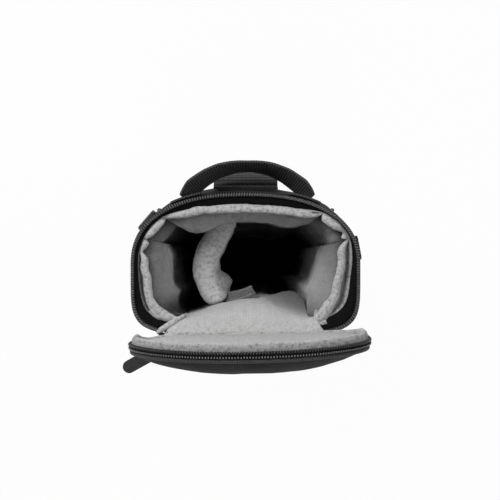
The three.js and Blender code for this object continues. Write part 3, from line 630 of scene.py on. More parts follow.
def coil_finish(colours, name):
    """Nylon coil: smooth and slightly shiny, with a painted highlight on its crowns in random
    patches.
    """
    base = tuple(colours.coil)
    made = Finish(name, Roughness=0.36, Specular_IOR_Level=0.45)
    solid = made.place()
    rubbed = made.cloud(solid, 1.6, 2.0)
    made.relief(made.cloud(solid, 0.3, 1.0), 0.03, 0.4)
    # Painted highlight: the crown attribute turns the black wire pale, in random patches
    crown = made.math("POWER", made.attribute("crown"), 2.6)
    wear_and_painted_light = made.math("MULTIPLY", crown, made.between(rubbed, 0.3, 0.7, 0.45, 1.0))
    return made.paint(made.blend(wear_and_painted_light, base, tuple(colours.painted_coil_highlight)))


def metal_finish(colours, name):
    """Dark coated metal, fine-grained, with paler rubbed spots."""
    base = tuple(colours.metal)
    made = Finish(name, Metallic=1.0, Specular_IOR_Level=0.5)
    solid = made.place()
    grain = made.cloud(solid, 0.35, 3.0, 0.6)
    rubbed = made.cloud(solid, 3.0, 3.0)
    made.relief(grain, 0.03, 0.5)
    made.feed(made.shader.inputs["Roughness"], made.between(rubbed, 0.3, 0.7, 0.32, 0.5))
    return made.paint(made.blend(made.between(rubbed, 0.5, 0.8), shade(base, 2.2), shade(base, 5)))


def rubber_finish(colours, name):
    """Moulded rubber: matt, very finely textured, with dust in the texture."""
    base = tuple(colours.rubber)
    made = Finish(name, Roughness=0.68, Specular_IOR_Level=0.35)
    solid = made.place()
    grain = made.cloud(solid, 0.25, 2.0, 0.6)
    dust = made.cloud(solid, 2.5, 4.0, 0.65)
    made.relief(grain, 0.05, 0.6)
    return made.paint(made.blend(made.between(dust, 0.45, 0.8), base, shade(base, 1.9)))


def thread_finish(colours, name):
    """Twisted sewing thread."""
    base = tuple(colours.thread)
    made = Finish(name, Roughness=0.6, Sheen_Weight=0.2)
    twist = made.cloud(made.place(), 0.3, 2.0)
    made.relief(twist, 0.06, 0.6)
    return made.paint(made.blend(twist, shade(base, 0.7), base))


def finish_of(kind, colours):
    """The material of one kind, made once and shared."""
    makers = {
        # The pads' lining takes painted light and shade from each piece's tone attribute
        "lining": (lining_finish, {"name": "lining_painted_shade", "wear_and_painted_light": True, "mottle": 0.8}),
        # The floor's cloth is nearly black, painted shade deep inside the case
        "floor": (lining_finish, {"name": "floor_cloth_painted_shade", "base": colours.floor_lining}),
        "fuzzy": (lining_finish, {"name": "fuzzy_lining", "rib": 1.4, "knit": 0.3,
                                  "mottle": 0.7}),
        "hook": (lining_finish, {"name": "hook_tape", "base": colours.hook_tape, "rib": 1.2}),
        # The back hook tab and its stitches are nearly black, painted shade where they sit deep in
        # the case
        "hook_painted_shade": (lining_finish, {"name": "hook_tape_painted_shade", "base": colours.floor_lining}),
        "fabric": (fabric_finish, {"name": "woven_nylon"}),
        "webbing": (webbing_finish, {"name": "ribbed_webbing"}),
        "piping": (webbing_finish, {"name": "piping_cord", "rib": 0.9}),
        "belt": (webbing_finish, {"name": "belt_webbing", "rib": 3.4, "base": colours.belt,
                                   "contrast": 5.0}),
        "tape": (tape_finish, {"name": "woven_tape"}),
        "coil": (coil_finish, {"name": "nylon_coil"}),
        "metal": (metal_finish, {"name": "coated_metal"}),
        "rubber": (rubber_finish, {"name": "moulded_rubber"}),
        "thread": (thread_finish, {"name": "pale_thread"}),
    }
    maker, options = makers[kind]
    found = bpy.data.materials.get(options["name"])
    return found or maker(colours, **options)


def vertex_shares(piece, name, values):
    """Stores a number for each point of a piece, for its material."""
    layer = piece.data.attributes.new(name, "FLOAT", "POINT")
    layer.data.foreach_set("value", np.asarray(values, np.float32).ravel())


def dressed(piece, kind, context):
    """Gives a piece its material."""
    piece.data.materials.clear()
    piece.data.materials.append(finish_of(kind, context.scene.camera_case.colours))
    return piece


# Each wall pad's roll, read off along the mouth in millimetres: its middle's depth inside the
# mouth, its radius and its height, and the depth of the flange beside the zip tape.
RIGHT_ROLL = {
    "depth": [(46, 5.7), (48.4, 6.6), (52.8, 7.8), (59.3, 10.3), (67.6, 12.7), (79.3, 12.5),
              (86.5, 11.7), (92.7, 10.5), (99.1, 9.6), (105.8, 8.5), (108.8, 6.4), (110.7, 3.9)],
    "radius": [(48.4, 1.5), (52.8, 2.1), (59.3, 2.3), (79.3, 2.4), (99.1, 2.2), (105.8, 2.2),
               (108.8, 1.9), (110.7, 0.8)],
    "height": [(48.4, 126.4), (59.1, 127), (98.9, 127.2), (106.8, 127), (110.7, 125.8)],
    "flange": [(46, 4.9), (48.4, 5.3), (60, 7.2), (79.2, 5.5), (95, 3.9), (104.9, 2.8),
               (110.7, 2)],
}
RIGHT_CORNER_ROLL = {
    "depth": [(110.7, 3.3), (113.2, 4.5), (116.3, 2.9), (119.6, 4.2), (125.5, 4.6), (130.3, 4.1),
              (132.8, 3)],
    "radius": [(110.7, 0.8), (113.2, 1.5), (116.3, 1), (119.6, 2.2), (125.5, 2.5), (130.3, 1.9),
               (132.8, 0.8)],
    "height": [(110.7, 125.8), (113.2, 126.6), (116.3, 125.9), (120.6, 127), (128.4, 127),
               (132.8, 125.8)],
    "flange": [(110.7, 1.9), (122.6, 1.6), (132.8, 1.8)],
}
BACK_ROLL = {
    "depth": [(132.8, 3), (134.4, 4.9), (136.7, 6.7), (139.9, 7.2), (152.4, 8), (164.1, 8.4),
              (180, 8.5), (196, 8.3), (205, 8.2), (212.9, 7.2), (217.9, 7.3), (225.8, 6.3),
              (233.8, 3.8)],
    "radius": [(132.8, 0.8), (134.4, 1.8), (136.7, 1.8), (139.9, 2.5), (152.4, 2.5), (166.1, 2.3),
               (180, 2.4), (196, 2.6), (212.9, 2.4), (225.8, 2.3), (230.8, 1.6), (233.8, 0.8)],
    "height": [(132.8, 125.8), (135.1, 126.6), (141.8, 127.2), (222.8, 127.2), (233.8, 125.8)],
    "flange": [(132.8, 1.8), (141.9, 4.2), (181.1, 5.9), (220.9, 4.5), (233.8, 2.7)],
}
LEFT_CORNER_ROLL = {
    "depth": [(233.8, 3.8), (236.8, 4.5), (243.9, 5.3), (249, 5.1), (251.3, 4.3)],
    "radius": [(233.8, 0.8), (236.8, 1.6), (243.9, 1.9), (249, 1.7), (251.3, 0.8)],
    "height": [(233.8, 125.8), (238.8, 126.9), (248, 126.8), (251.3, 125.8)],
    "flange": [(233.8, 2.6), (243.9, 2.7), (251.3, 3.2)],
}
LEFT_ROLL = {
    "depth": [(251.3, 4.3), (253.5, 5.5), (256.1, 5.4), (259.1, 4.6), (262.2, 6.7), (270.3, 7.2),
              (276.7, 8.7), (283.6, 9), (291.9, 9.3), (303, 8.6), (310.6, 7.4), (316.4, 7)],
    "radius": [(251.3, 0.8), (253.5, 1.7), (256.1, 1.6), (259.1, 0.9), (262.2, 1.9), (270.3, 2.2),
               (276.7, 2.4), (291.9, 2.4), (302.3, 2.3), (310.6, 2), (316.4, 1.3)],
    "height": [(251.3, 125.8), (254.1, 126.6), (259.1, 125.8), (264.2, 127), (307.7, 127),
               (316.4, 126.2)],
    "flange": [(251.3, 3.2), (271.3, 3.3), (291.9, 5), (307.7, 5.7), (316.3, 5.5)],
}
# Start and end along the mouth, the face's depth along it, its roll and the solids it replaces.
WALL_PADS = {
    "right": (46, 110.7, [(46, 9.5), (52, 12), (59, 17), (66, 22), (100, 23.5), (110.7, 20)],
              RIGHT_ROLL, ("right_foam", "right_lining")),
    "back_right_corner": (110.7, 132.8, [(110.7, 16), (122, 13), (132.8, 13)], RIGHT_CORNER_ROLL,
                          ("back_right_corner_foam", "back_right_corner_lining")),
    "back": (132.8, 233.8, [(132.8, 15), (137, 18), (141, 19.5), (148, 20.4), (163, 19.2),
                            (181, 19.2), (195, 19.4), (208, 20.8), (218, 22.5), (226, 23),
                            (233.8, 21)], BACK_ROLL, ("back_foam", "back_lining")),
    "back_left_corner": (233.8, 251.3, [(233.8, 14), (251.3, 14)], LEFT_CORNER_ROLL,
                         ("back_left_corner_foam", "back_left_corner_lining")),
    "left": (251.3, 316.9, [(251.3, 17), (262, 21.5), (291, 21.5), (300, 16), (308, 11.5),
                            (316.9, 9.5)], LEFT_ROLL, ("left_foam", "left_lining")),
}
# The front pad's face, read off from the middle of the hinge: its greatest depth inside the wall.
HILL_FACE = [(-46, 7), (-42, 8.4), (-35, 10), (-27, 12.2), (-15.4, 16.6), (-6, 18.2), (2, 19.2),
             (9, 19.4), (15, 17.8), (20, 15.4), (26, 12.6), (33, 10.2), (40, 8.8), (46, 8)]
# The lower hump at its right: rise, place along the wall and half width, height and half height.
HILL_LOBE = (11.0, 30.0, 12.0, 76.0, 21.0)
# Painted light and shade on each pad's cloth beside its roll: its flange, its face along it
# (distance and share), and its face down it (height and share), above 1 where light is painted in
DEEP_LIGHT = [(8, 0.06), (20, 0.5), (45, 1.5), (60, 1.6), (80, 1.4), (100, 0.75), (120, 0.5)]
BACK_LIGHT = [(8, 0.01), (52, 0.02), (62, 0.3), (76, 1.1), (100, 0.65), (120, 0.45)]
HILL_LIGHT = [(8, 0.02), (45, 0.06), (62, 0.5), (80, 0.85), (100, 0.95), (112, 1.0)]
PAD_PAINTED_LIGHT = {
    "right": (0.75, [(46, 0.3), (53, 0.6), (60, 0.85), (100, 0.9), (110.7, 0.6)], DEEP_LIGHT),
    "back_right_corner": (0.6, [(110.7, 0.8), (132.8, 0.6)], DEEP_LIGHT),
    "back": (0.85, [(132.8, 1.5), (233.8, 1.5)], BACK_LIGHT),
    "back_left_corner": (0.5, [(233.8, 0.3), (251.3, 0.7)], DEEP_LIGHT),
    "left": (0.28, [(251.3, 0.95), (258, 1.05), (288, 1.05), (295, 0.7), (301, 0.3), (308, 0.1),
                    (316.9, 0.05)], DEEP_LIGHT),
}
# A pad's face starts at this depth and height.
PAD_EDGE = 9.5
PAD_TOP = 125.75
# A wall pad's roll goes round through these angles, from its valley to its seam.
ROLL_ANGLES = np.linspace(205, -70, 15)
# The front pad's own face starts here: its height, and the depth of its seam.
HILL_TOP = 125.2
HILL_SEAM = 8.2
# The front ends of the two side rolls and the small flap: x, y, z and radius along each.
TAILS = {
    "right_tail": [(46.5, -32.2, 126.3, 2.0), (44.2, -33.2, 125.9, 2.0), (42.2, -32.0, 125.2, 1.8),
                   (41.2, -29.4, 123.8, 1.5), (41.2, -26.6, 121.2, 1.1)],
    "left_tail": [(-54.2, -25.4, 126.9, 2.2), (-51.6, -28.4, 126.9, 2.1),
                  (-48.0, -30.2, 126.4, 1.9), (-44.8, -31.2, 125.6, 1.5),
                  (-42.2, -31.6, 124.6, 0.8)],
    "left_flap": [(-50.8, -38.9, 130.6, 0.8), (-48.5, -37.2, 130.2, 1.5),
                  (-44.5, -34.6, 129.2, 1.7), (-40.5, -32.2, 127.9, 1.6),
                  (-36.5, -29.9, 125.6, 1.1), (-34, -28.4, 123, 0.6)],
}
# The divider's two edges from its back end to its front end: outer x and y, inner x and y.
DIVIDER_EDGES = [
    (-13.6, 25.4, -8.6, 25.6), (-17.9, 24.4, -5.7, 24.6), (-22.1, 21.4, -7.1, 21),
    (-25.7, 17.4, -9.5, 16.4), (-28.5, 12.4, -11.7, 12), (-30.4, 7.4, -13.5, 7.4),
    (-31.8, 2.6, -16, 3.4), (-32.1, -1.9, -16.7, -0.6), (-31.9, -6, -18, -4.4),
    (-31, -9.6, -16.8, -7.4), (-29.7, -13.2, -16.3, -10.6), (-27.9, -17.2, -14.7, -13.4),
    (-26.1, -20.6, -13.5, -16.2), (-24.1, -23, -12.1, -18.6), (-21.7, -24.2, -12.5, -20.8),
    (-18.7, -24.4, -14.7, -22.4),
]
# The zipper's coils: the wire's radius, its sides, its steps in each turn, and a direction that
# it never runs along, from which its sides are laid out.
COIL_WIRE = 0.4
COIL_SIDES = 6
COIL_STEPS = 12
COIL_UP = (0.013, 0.031, 1.0)
# The handle's lean from upright at its middle and how much more at its ends, in degrees, and
# the width to which its webbing is folded at its ends.
HANDLE_LEAN = 13
HANDLE_END_LEAN = 24
HANDLE_END_WIDTH = 8
# Half of the back panel's length along the mouth.
BACK_PANEL_HALF = 50
# How far below the mouth the fabric panels end: the front one and the others.
FRONT_PANEL_DROP = 2.1
PANEL_DROP = 2.6
# The lid's lined pad: how deep its rim's middle lies inside the edge and above the mouth, and the
# rim's radius.
LID_RIM_DEPTH = 3.0
LID_RIM_LEVEL = 0.4
LID_RIM_RADIUS = 2.1
# The divider's hook tabs: their width and thickness.
HOOK_WIDTH = 7.6
HOOK_THICKNESS = 1.1
# The stage's lamps: name, place and size in metres, and power in watts.
LAMPS = (
    ("key", (-0.55, 0.55, 0.75), 0.5, 8.0),
    ("fill", (0.75, 0.10, 0.62), 0.6, 2.6),
    ("front", (0.05, -0.80, 0.55), 0.6, 2.2),
)
LAMP_AIM = (0, 0, 0.12)
# How much of the floor's light to the camera is plain white, and not light that falls on it.
FLOOR_GLOW = 0.96


def face_depth(crown, z, bottom):
    """Depth of a pad's face inside the wall: it swells below its top, then hangs straight down."""
    below = np.clip((PAD_TOP - z) / (PAD_TOP - bottom), 0, 1)
    return PAD_EDGE + (crown - PAD_EDGE) * np.sin(math.pi / 2 * np.minimum(1, below / 0.3) ** 0.6)


def pad_stations(start, end):
    """Distances along the mouth at which a wall pad's sections stand."""
    return np.linspace(start + 0.03, end - 0.03, int((end - start) / 0.8))


def wall_pad_painted_light(name, rings, start, end):
    """Painted light and shade: dark in the valley and under the roll, dimmer down the face."""
    flange, along_face, down_face = PAD_PAINTED_LIGHT[name]
    # Painted shade in the valley, low on the roll's sides and in the seam under it
    bead = np.interp(ROLL_ANGLES, [-70, -30, 20, 150, 205], [0.35, 0.7, 1, 1, 0.45])
    top = np.concatenate([np.ones(5), [flange, flange, flange, 0.8 * flange, 0.6 * flange], bead,
                          [0.2, 0.16]])
    painted_light = np.empty(rings.shape[:2])
    painted_light[:, :len(top)] = top
    levels = rings[:, len(top):, 2]
    painted_light[:, len(top):] = (smooth_table(pad_stations(start, end), along_face)[:, None]
                           * np.interp(levels, *zip(*down_face)))
    # Painted shade just under the seam
    painted_light[:, len(top):len(top) + 3] *= (0.4, 0.6, 0.85)
    return painted_light


def wall_pad_rings(form, start, end, crowns, roll):
    """Sections of a wall pad from its outer side over the flange, valley, roll and seam to its
    face, and down to the floor."""
    along = pad_stations(start, end)
    crown = smooth_table(along, crowns)
    depth, radius, height, flange = (
        smooth_table(along, roll[key]) for key in ("depth", "radius", "height", "flange"))
    bottom = form.pad_bottom
    rings = []
    for s, c, d, r, h, f in zip(along, crown, depth, radius, height, flange):
        gap = np.clip(d - r - f - 1.0, 0, 5)
        sunk = h - 1.0 - 0.4 * gap
        outer = [(2.4, bottom), (2.5, 60), (2.6, 112), (max(2.7, f - 1.2), 121),
                 (f - 0.25, 125.6), (f, 126.9), (f + 0.35, 127.35), (f + 0.85, 127.0),
                 (f + 1.05 + 0.15 * gap, sunk + 0.9), (f + 1.1 + 0.5 * gap, sunk)]
        bead = [(d + r * math.cos(t), h + r * math.sin(t)) for t in np.radians(ROLL_ANGLES)]
        seam_z = h - r - 0.55
        seam = [(d + 0.25 * r, seam_z), (d + 0.45 * r, seam_z - 0.5)]
        start_z = seam_z - 1.0
        levels = start_z - (start_z - bottom) * np.linspace(0, 1, 30) ** 1.6
        face = face_depth(c, levels, bottom)
        ease = np.exp(-(seam_z - 0.5 - levels) / 2.4)
        face = face * (1 - ease) + (d + 0.6 * r) * ease
        profile = np.array(outer + bead + seam + list(zip(face, levels)))
        rings.append(form.wall(s, profile[:, 0], profile[:, 1]))
    return np.array(rings)


def hill_rings(form):
    """Sections of the front pad: it runs from the lid's lining over the hinge and hangs in a
    broad hill down to the floor, with no roll."""
    half = form.hinge_half
    along = np.arange(-half + 0.15, half, 0.8)
    bottom = form.pad_bottom
    rise, place, width, level, height = HILL_LOBE
    rings = []
    for s, hill in zip(along, smooth_table(along, HILL_FACE)):
        end = min(1.0, (half - abs(s)) / 6)
        levels = HILL_TOP - (HILL_TOP - bottom) * np.linspace(0, 1, 34) ** 1.5
        lobe = rise * np.exp(-((s - place) / width) ** 2 - ((levels - level) / height) ** 2)
        face = face_depth(hill, levels, bottom) + lobe
        ease = np.exp(-(126.6 - levels) / 3.0)
        face = face * (1 - ease) + HILL_SEAM * ease
        crest = [(2.4, bottom), (2.5, 60), (2.6, 112), (2.6, 121), (2.5, 126.8), (1.9, 129.2),
                 (0.9, 130.6), (-0.9, 131.9), (-1.5, 133.2), (-1.9, 135.8), (-1.6, 138.6),
                 (-0.9, 138.8), (-0.6, 136.0), (-0.1, 133.8), (1.0, 132.2), (2.6, 130.9),
                 (4.4, 129.5), (6.2, 128.1), (7.6, 126.7)]
        crest = [(a, z if z < 128 else 128 + (z - 128) * (0.55 + 0.45 * end)) for a, z in crest]
        profile = np.array(crest + list(zip(face, levels)))
        points = form.wall(s, 0, np.minimum(profile[:, 1], form.mouth_height))
        points[:, 0] -= math.copysign(0.7 * np.clip((abs(s) - 36) / 10, 0, 1), s) * profile[:, 0]
        points[:, 1] += profile[:, 0]
        points[:, 2] = profile[:, 1]
        rings.append(points)
    return np.array(rings)


def settle(piece, pinned, pressure, steps, limit):
    """Lets a pad's cloth settle under the pressure of its foam, the pinned points held, in a
    number of steps, and limits how far any point may move, in millimetres."""
    rest = np.empty(len(piece.data.vertices) * 3)
    piece.data.vertices.foreach_get("co", rest)
    rest = rest.reshape(-1, 3)
    group = piece.vertex_groups.new(name="sewn")
    for i in np.flatnonzero(pinned > 0):
        group.add([int(i)], float(pinned[i]), "REPLACE")
    only(piece)
    cloth = piece.modifiers.new("foam", "CLOTH")
    cloth.settings.quality = 6
    cloth.settings.mass = 0.15
    cloth.settings.tension_stiffness = 12
    cloth.settings.compression_stiffness = 12
    cloth.settings.bending_stiffness = 0.8
    cloth.settings.vertex_group_mass = "sewn"
    cloth.settings.use_pressure = True
    cloth.settings.uniform_pressure_force = pressure
    cloth.settings.effector_weights.gravity = 0
    cloth.settings.shrink_min = -0.03
    cloth.collision_settings.use_collision = False
    cloth.point_cache.frame_start, cloth.point_cache.frame_end = 1, steps
    scene = bpy.context.scene
    for step in range(1, steps + 1):
        scene.frame_set(step)
    bpy.ops.object.modifier_apply(modifier="foam")
    scene.frame_set(1)
    settled = np.empty_like(rest).ravel()
    piece.data.vertices.foreach_get("co", settled)
    moved = settled.reshape(-1, 3) - rest
    far = np.linalg.norm(moved, axis=1)[:, None]
    moved *= np.minimum(1, limit * MM / np.maximum(far, 1e-9))
    piece.data.vertices.foreach_set("co", (rest + moved).ravel())
    piece.vertex_groups.clear()
    piece.data.update()


class CASE_OT_stage(bpy.types.Operator):
    """Adds the floor, the lights and the camera that looks down into the open case"""

    bl_idname = "camera_case.stage"
    bl_label = "Stage"

    camera_x: FloatProperty(name="Camera X", default=0.0026, subtype="DISTANCE")
    camera_y: FloatProperty(name="Camera Y", default=0.0086, subtype="DISTANCE")
    camera_height: FloatProperty(name="Camera height", default=0.78, subtype="DISTANCE")
    lens: FloatProperty(name="Lens", default=81.7, subtype="DISTANCE_CAMERA")

    def execute(self, context):
        bpy.ops.object.select_all(action="DESELECT")
        bpy.ops.mesh.primitive_plane_add(size=12, location=(0, 0, 0))
        floor = context.object
        floor.name = "floor"
        floor.data.materials.append(self.floor_finish())
        data = bpy.data.cameras.new("photo_camera")
        data.lens = self.lens
        data.sensor_width = 36
        camera = bpy.data.objects.new("photo_camera", data)
        camera.location = (self.camera_x, self.camera_y, self.camera_height)
        context.collection.objects.link(camera)
        context.scene.camera = camera
        for lamp in LAMPS:
            self.light(context, *lamp)
        world = bpy.data.worlds.new("soft_room")
        world.use_nodes = True
        tree = world.node_tree
        plain = tree.nodes["Background"]
        plain.inputs["Color"].default_value = (1, 1, 1, 1)
        self.dim_zenith(tree, plain.inputs["Strength"])
        white = tree.nodes.new("ShaderNodeBackground")
        white.inputs["Color"].default_value = (1, 1, 1, 1)
        seen = self.seen_by(tree, "Is Camera Ray", "Is Transmission Ray")
        self.mix_shaders(tree, seen, plain, white, tree.nodes["World Output"])
        context.scene.world = world
        context.scene.view_settings.view_transform = "Standard"
        return {"FINISHED"}

    @staticmethod
    def dim_zenith(tree, strength):
        """Light from all sides, weakest from straight above."""
        place = tree.nodes.new("ShaderNodeTexCoord")
        axes = tree.nodes.new("ShaderNodeSeparateXYZ")
        level = tree.nodes.new("ShaderNodeMapRange")
        level.inputs["From Min"].default_value = 0.1
        level.inputs["From Max"].default_value = 0.95
        level.inputs["To Min"].default_value = 0.28
        level.inputs["To Max"].default_value = 0.05
        tree.links.new(place.outputs["Generated"], axes.inputs[0])
        tree.links.new(axes.outputs["Z"], level.inputs["Value"])
        tree.links.new(level.outputs["Result"], strength)

    @staticmethod
    def seen_by(tree, *rays):
        """1 for these kinds of rays and 0 for the others."""
        path = tree.nodes.new("ShaderNodeLightPath")
        seen = path.outputs[rays[0]]
        for ray in rays[1:]:
            either = tree.nodes.new("ShaderNodeMath")
            either.operation = "MAXIMUM"
            tree.links.new(seen, either.inputs[0])
            tree.links.new(path.outputs[ray], either.inputs[1])
            seen = either.outputs[0]
        return seen

    @staticmethod
    def mix_shaders(tree, share, usual, seen, output):
        """Feeds the output from the usual shader, and by this share from the one that is seen."""
        mix = tree.nodes.new("ShaderNodeMixShader")
        tree.links.new(share, mix.inputs["Fac"])
        tree.links.new(usual.outputs[0], mix.inputs[1])
        tree.links.new(seen.outputs[0], mix.inputs[2])
        tree.links.new(mix.outputs[0], output.inputs["Surface"])

    def floor_finish(self):
        """A pale floor that looks white, and keeps a little of the object's shadow."""
        material = bpy.data.materials.new("pale_floor")
        material.use_nodes = True
        tree = material.node_tree
        plain = tree.nodes["Principled BSDF"]
        plain.inputs["Base Color"].default_value = (0.8, 0.8, 0.8, 1)
        plain.inputs["Roughness"].default_value = 0.9
        glow = tree.nodes.new("ShaderNodeEmission")
        glow.inputs["Strength"].default_value = 1.0
        share = tree.nodes.new("ShaderNodeMath")
        share.operation = "MULTIPLY"
        share.inputs[1].default_value = FLOOR_GLOW
        seen = self.seen_by(tree, "Is Camera Ray", "Is Glossy Ray", "Is Transmission Ray")
        tree.links.new(seen, share.inputs[0])
        self.mix_shaders(tree, share.outputs[0], plain, glow, tree.nodes["Material Output"])
        return material

    @staticmethod
    def light(context, name, location, size, power):
        """A round soft lamp that shines at the case."""
        data = bpy.data.lights.new(name, "AREA")
        data.shape = "DISK"
        data.size = size
        data.energy = power
        lamp = bpy.data.objects.new(name, data)
        lamp.location = location
        aim = Vector(LAMP_AIM) - Vector(location)
        lamp.rotation_euler = aim.to_track_quat("-Z", "Y").to_euler()
        context.collection.objects.link(lamp)


class CASE_OT_pads(bpy.types.Operator):
    """Makes the lined pads of the walls and the floor"""

    bl_idname = "camera_case.pads"
    bl_label = "Wall pads"

    def execute(self, context):
        form = CaseForm(context)
        seed = context.scene.camera_case.colours.fray
        for name, (start, end, crowns, roll, nodes) in WALL_PADS.items():
            rings = wall_pad_rings(form, start, end, crowns, roll)
            # Painted light and shade for each point of the pad, kept as its tone attribute
            painted_light = wall_pad_painted_light(name, rings, start, end)
            pad = grid_mesh(f"{name}_pad", self.uneven(rings, seed))
            vertex_shares(pad, "tone", painted_light)
            rolled = np.arange(rings.shape[1]) < 26
            vertex_shares(pad, "fuzz", np.tile(rolled, len(rings)) * 0.8 + 0.2)
            self.settle_face(pad, rings.shape)
            dressed(pad, "lining", context)
            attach(pad, "case")
            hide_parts(*nodes)
        rings = hill_rings(form)
        front = grid_mesh("front_pad", self.uneven(rings, seed))
        x, z = rings[:, :, 0], rings[:, :, 2]
        # Painted light and shade on the front pad: dimmer low down, and painted shade on the right
        # of its lower hump, which is turned from the light
        turned_away = np.clip((x - 9) / 15, 0, 1) * np.clip((113 - z) / 18, 0, 1)
        vertex_shares(front, "tone", np.interp(z, *zip(*HILL_LIGHT)) * (1 - 0.62 * turned_away))
        vertex_shares(front, "fuzz", np.interp(z, (125, 130), (0.1, 0.5)))
        dressed(front, "lining", context)
        z = form.mouth_height * MM
        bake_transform(front)
        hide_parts("front_foam", "front_lining")
        self.tails(context, seed)
        self.floor(form, context)
        return {"FINISHED"}

    @staticmethod
    def uneven(rings, seed):
        """Soft lumps in the cloth, none at the outer side."""
        moved = lumps(rings, 0.45, 9.0, seed) + lumps(rings, 0.3, 2.4, seed + 5)
        place = np.arange(rings.shape[1])
        share = np.clip((place - 3) / 5, 0, 1) * np.clip((place[-1] - place) / 4, 0, 1)
        return rings + moved * share[None, :, None]

    @staticmethod
    def settle_face(pad, shape):
        """Lets the pad's face settle, with all round it and above it sewn fast."""
        count, around = shape[:2]
        pinned = np.ones((count, around))
        free = np.arange(around) > 28
        pinned[:, free] = 0
        pinned[:, -2:] = 1
        pinned[:3] = 1
        pinned[-3:] = 1
        settle(pad, pinned.ravel(), pressure=3.0, steps=12, limit=1.2)

    @staticmethod
    def tails(context, seed):
        """The front ends of the two side rolls, which curl inwards over the front pad's ends."""
        for name, tail in TAILS.items():
            x, y, z, r = smooth_rows(tail, 60)
            rings = tube_rings(np.stack([x, y, z], 1), r, 20, (0, 0, 1))
            piece = grid_mesh(name, roughened(rings, (0.3, 2.4, seed)))
            dressed(piece, "fuzzy", context)
            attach(piece, "case")

    @staticmethod
    def floor(form, context):
        """The lined pad on the floor, domed, with an edge that drops to the walls."""
        shares = np.concatenate([np.linspace(0.02, 0.94, 14), [0.97, 1.0]])
        turns = np.linspace(0, form.mouth_length, 160, endpoint=False)
        edge = form.wall(turns, 15.0, form.pad_bottom)
        top = np.array(disc_rings(edge, shares, 2.3 - 1.1 * shares ** 3))
        top += lumps(top, 0.25, 8.0, 3) * (0, 0, 1)
        under = disc_rings(edge, shares[::-1], np.full(len(shares), -0.2))
        rings = np.concatenate([top, under])
        floor = grid_mesh("floor_pad", rings)
        # Nearly black cloth: painted shade deep inside the case
        dressed(floor, "floor", context)
        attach(floor, "case")
        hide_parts("floor_lining", "base_foam")


class CASE_OT_shell(bpy.types.Operator):
    """Makes the outer fabric panels with their piping"""

    bl_idname = "camera_case.shell"
    bl_label = "Outer shell"

    def execute(self, context):
        form = CaseForm(context)
        seed = context.scene.camera_case.colours.fray
        half = form.hinge_half
        back_start = form.mouth_length / 2 - BACK_PANEL_HALF
        corners = [half, back_start, form.mouth_length - back_start, form.mouth_length - half]
        panels = {
            "front_shell": (-half, half, "front_panel"),
            "right_shell": (corners[0], corners[1], "right_panel"),
            "back_shell": (corners[1], corners[2], "back_panel"),
            "left_shell": (corners[2], corners[3], "left_panel"),
        }
        for i, (name, (start, end, node)) in enumerate(panels.items()):
            self.panel(form, context, name, start, end, node, seed + i)
        names = ("front_right", "back_right", "back_left", "front_left")
        for name, distance in zip(names, corners):
            self.corner_piping(form, context, name, distance)
        self.base(form, context)
        return {"FINISHED"}

    @staticmethod
    def panel(form, context, name, start, end, node, seed):
        """One wall's fabric, drawn in towards its seams, with a rounded lip at its top."""
        margin = form.seam_piping * 0.75
        along = np.linspace(start + margin, end - margin, int((end - start) / 1.2))
        top = form.mouth_height - (FRONT_PANEL_DROP if node == "front_panel" else PANEL_DROP)
        levels = np.concatenate([np.linspace(3.2, 118, 60), np.linspace(119.5, top - 0.9, 8)])
        share = (along - (start + end) / 2) / ((end - start) / 2)
        pull = np.clip((np.abs(share) - 0.9) / 0.1, 0, 1) ** 2
        z = np.concatenate([levels, [top - 0.35, top, top - 0.1, top - 0.6], [118, 80, 40, 3.2]])
        rings = []
        for s, p in zip(along, pull):
            outer = 0.15 + 0.7 * p + 0.5 * np.exp(-(levels - 3) / 4)
            depth = np.concatenate([outer, [0.3, 0.75, 1.2, 1.45], np.full(4, form.fabric)])
            rings.append(form.wall(s, depth, z))
        rings = np.array(rings)
        rough = lumps(rings, 0.9, 26.0, seed) + lumps(rings, 0.3, 7.0, seed + 3)
        free = np.ones(rings.shape[1])
        free[-4:] = 0
        free[:3] = (0.1, 0.4, 0.7)
        free[60:] = 0.25
        side = np.clip((1 - np.abs(share)) / 0.12, 0, 1)
        rings = rings + rough * free[None, :, None] * side[:, None, None]
        piece = grid_mesh(name, rings)
        dressed(piece, "fabric", context)
        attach(piece, "case")
        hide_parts(node)

    @staticmethod
    def corner_piping(form, context, name, distance):
        """The piping in the seam between two panels."""
        levels = np.linspace(3.4, 126.6, 110)
        path = form.wall(distance, 0.3, levels)
        out = along_path(np.stack([form.wall(distance, 0, 60), form.wall(distance + 1, 0, 60)]))[0]
        rings = tube_rings(path, form.seam_piping, 12, out)
        piece = grid_mesh(f"{name}_cord", rings)
        dressed(piece, "piping", context)
        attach(piece, "case")
        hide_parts(f"{name}_piping")

    @staticmethod
    def base(form, context):
        """The base's fabric with the piping round it."""
        turns = np.linspace(0, form.mouth_length, 200, endpoint=False)
        path = form.wall(turns, 0.8, 0) + (0, 0, form.base_piping + 0.4)
        rings = tube_rings(path, form.base_piping, 12, (0, 0, 1), True)
        piece = grid_mesh("base_cord", rings, ring=True)
        dressed(piece, "piping", context)
        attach(piece, "case")
        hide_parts("base_piping")
        shares = np.concatenate([np.linspace(0.03, 0.9, 9), [0.96, 0.99, 1.0]])
        edge = form.wall(turns, 2.4, 0)
        low = disc_rings(edge, shares, 0.12 * np.clip((shares - 0.98) / 0.02, 0, 1))
        high = disc_rings(edge, shares[::-1], np.full(len(shares), form.fabric))
        panel = grid_mesh("base_sheet", np.array(low + high))
        dressed(panel, "fabric", context)
        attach(panel, "case")
        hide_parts("base_panel")


def wire_rings(path):
    """Sections of a zipper coil's wire."""
    return tube_rings(path, COIL_WIRE, COIL_SIDES, COIL_UP)


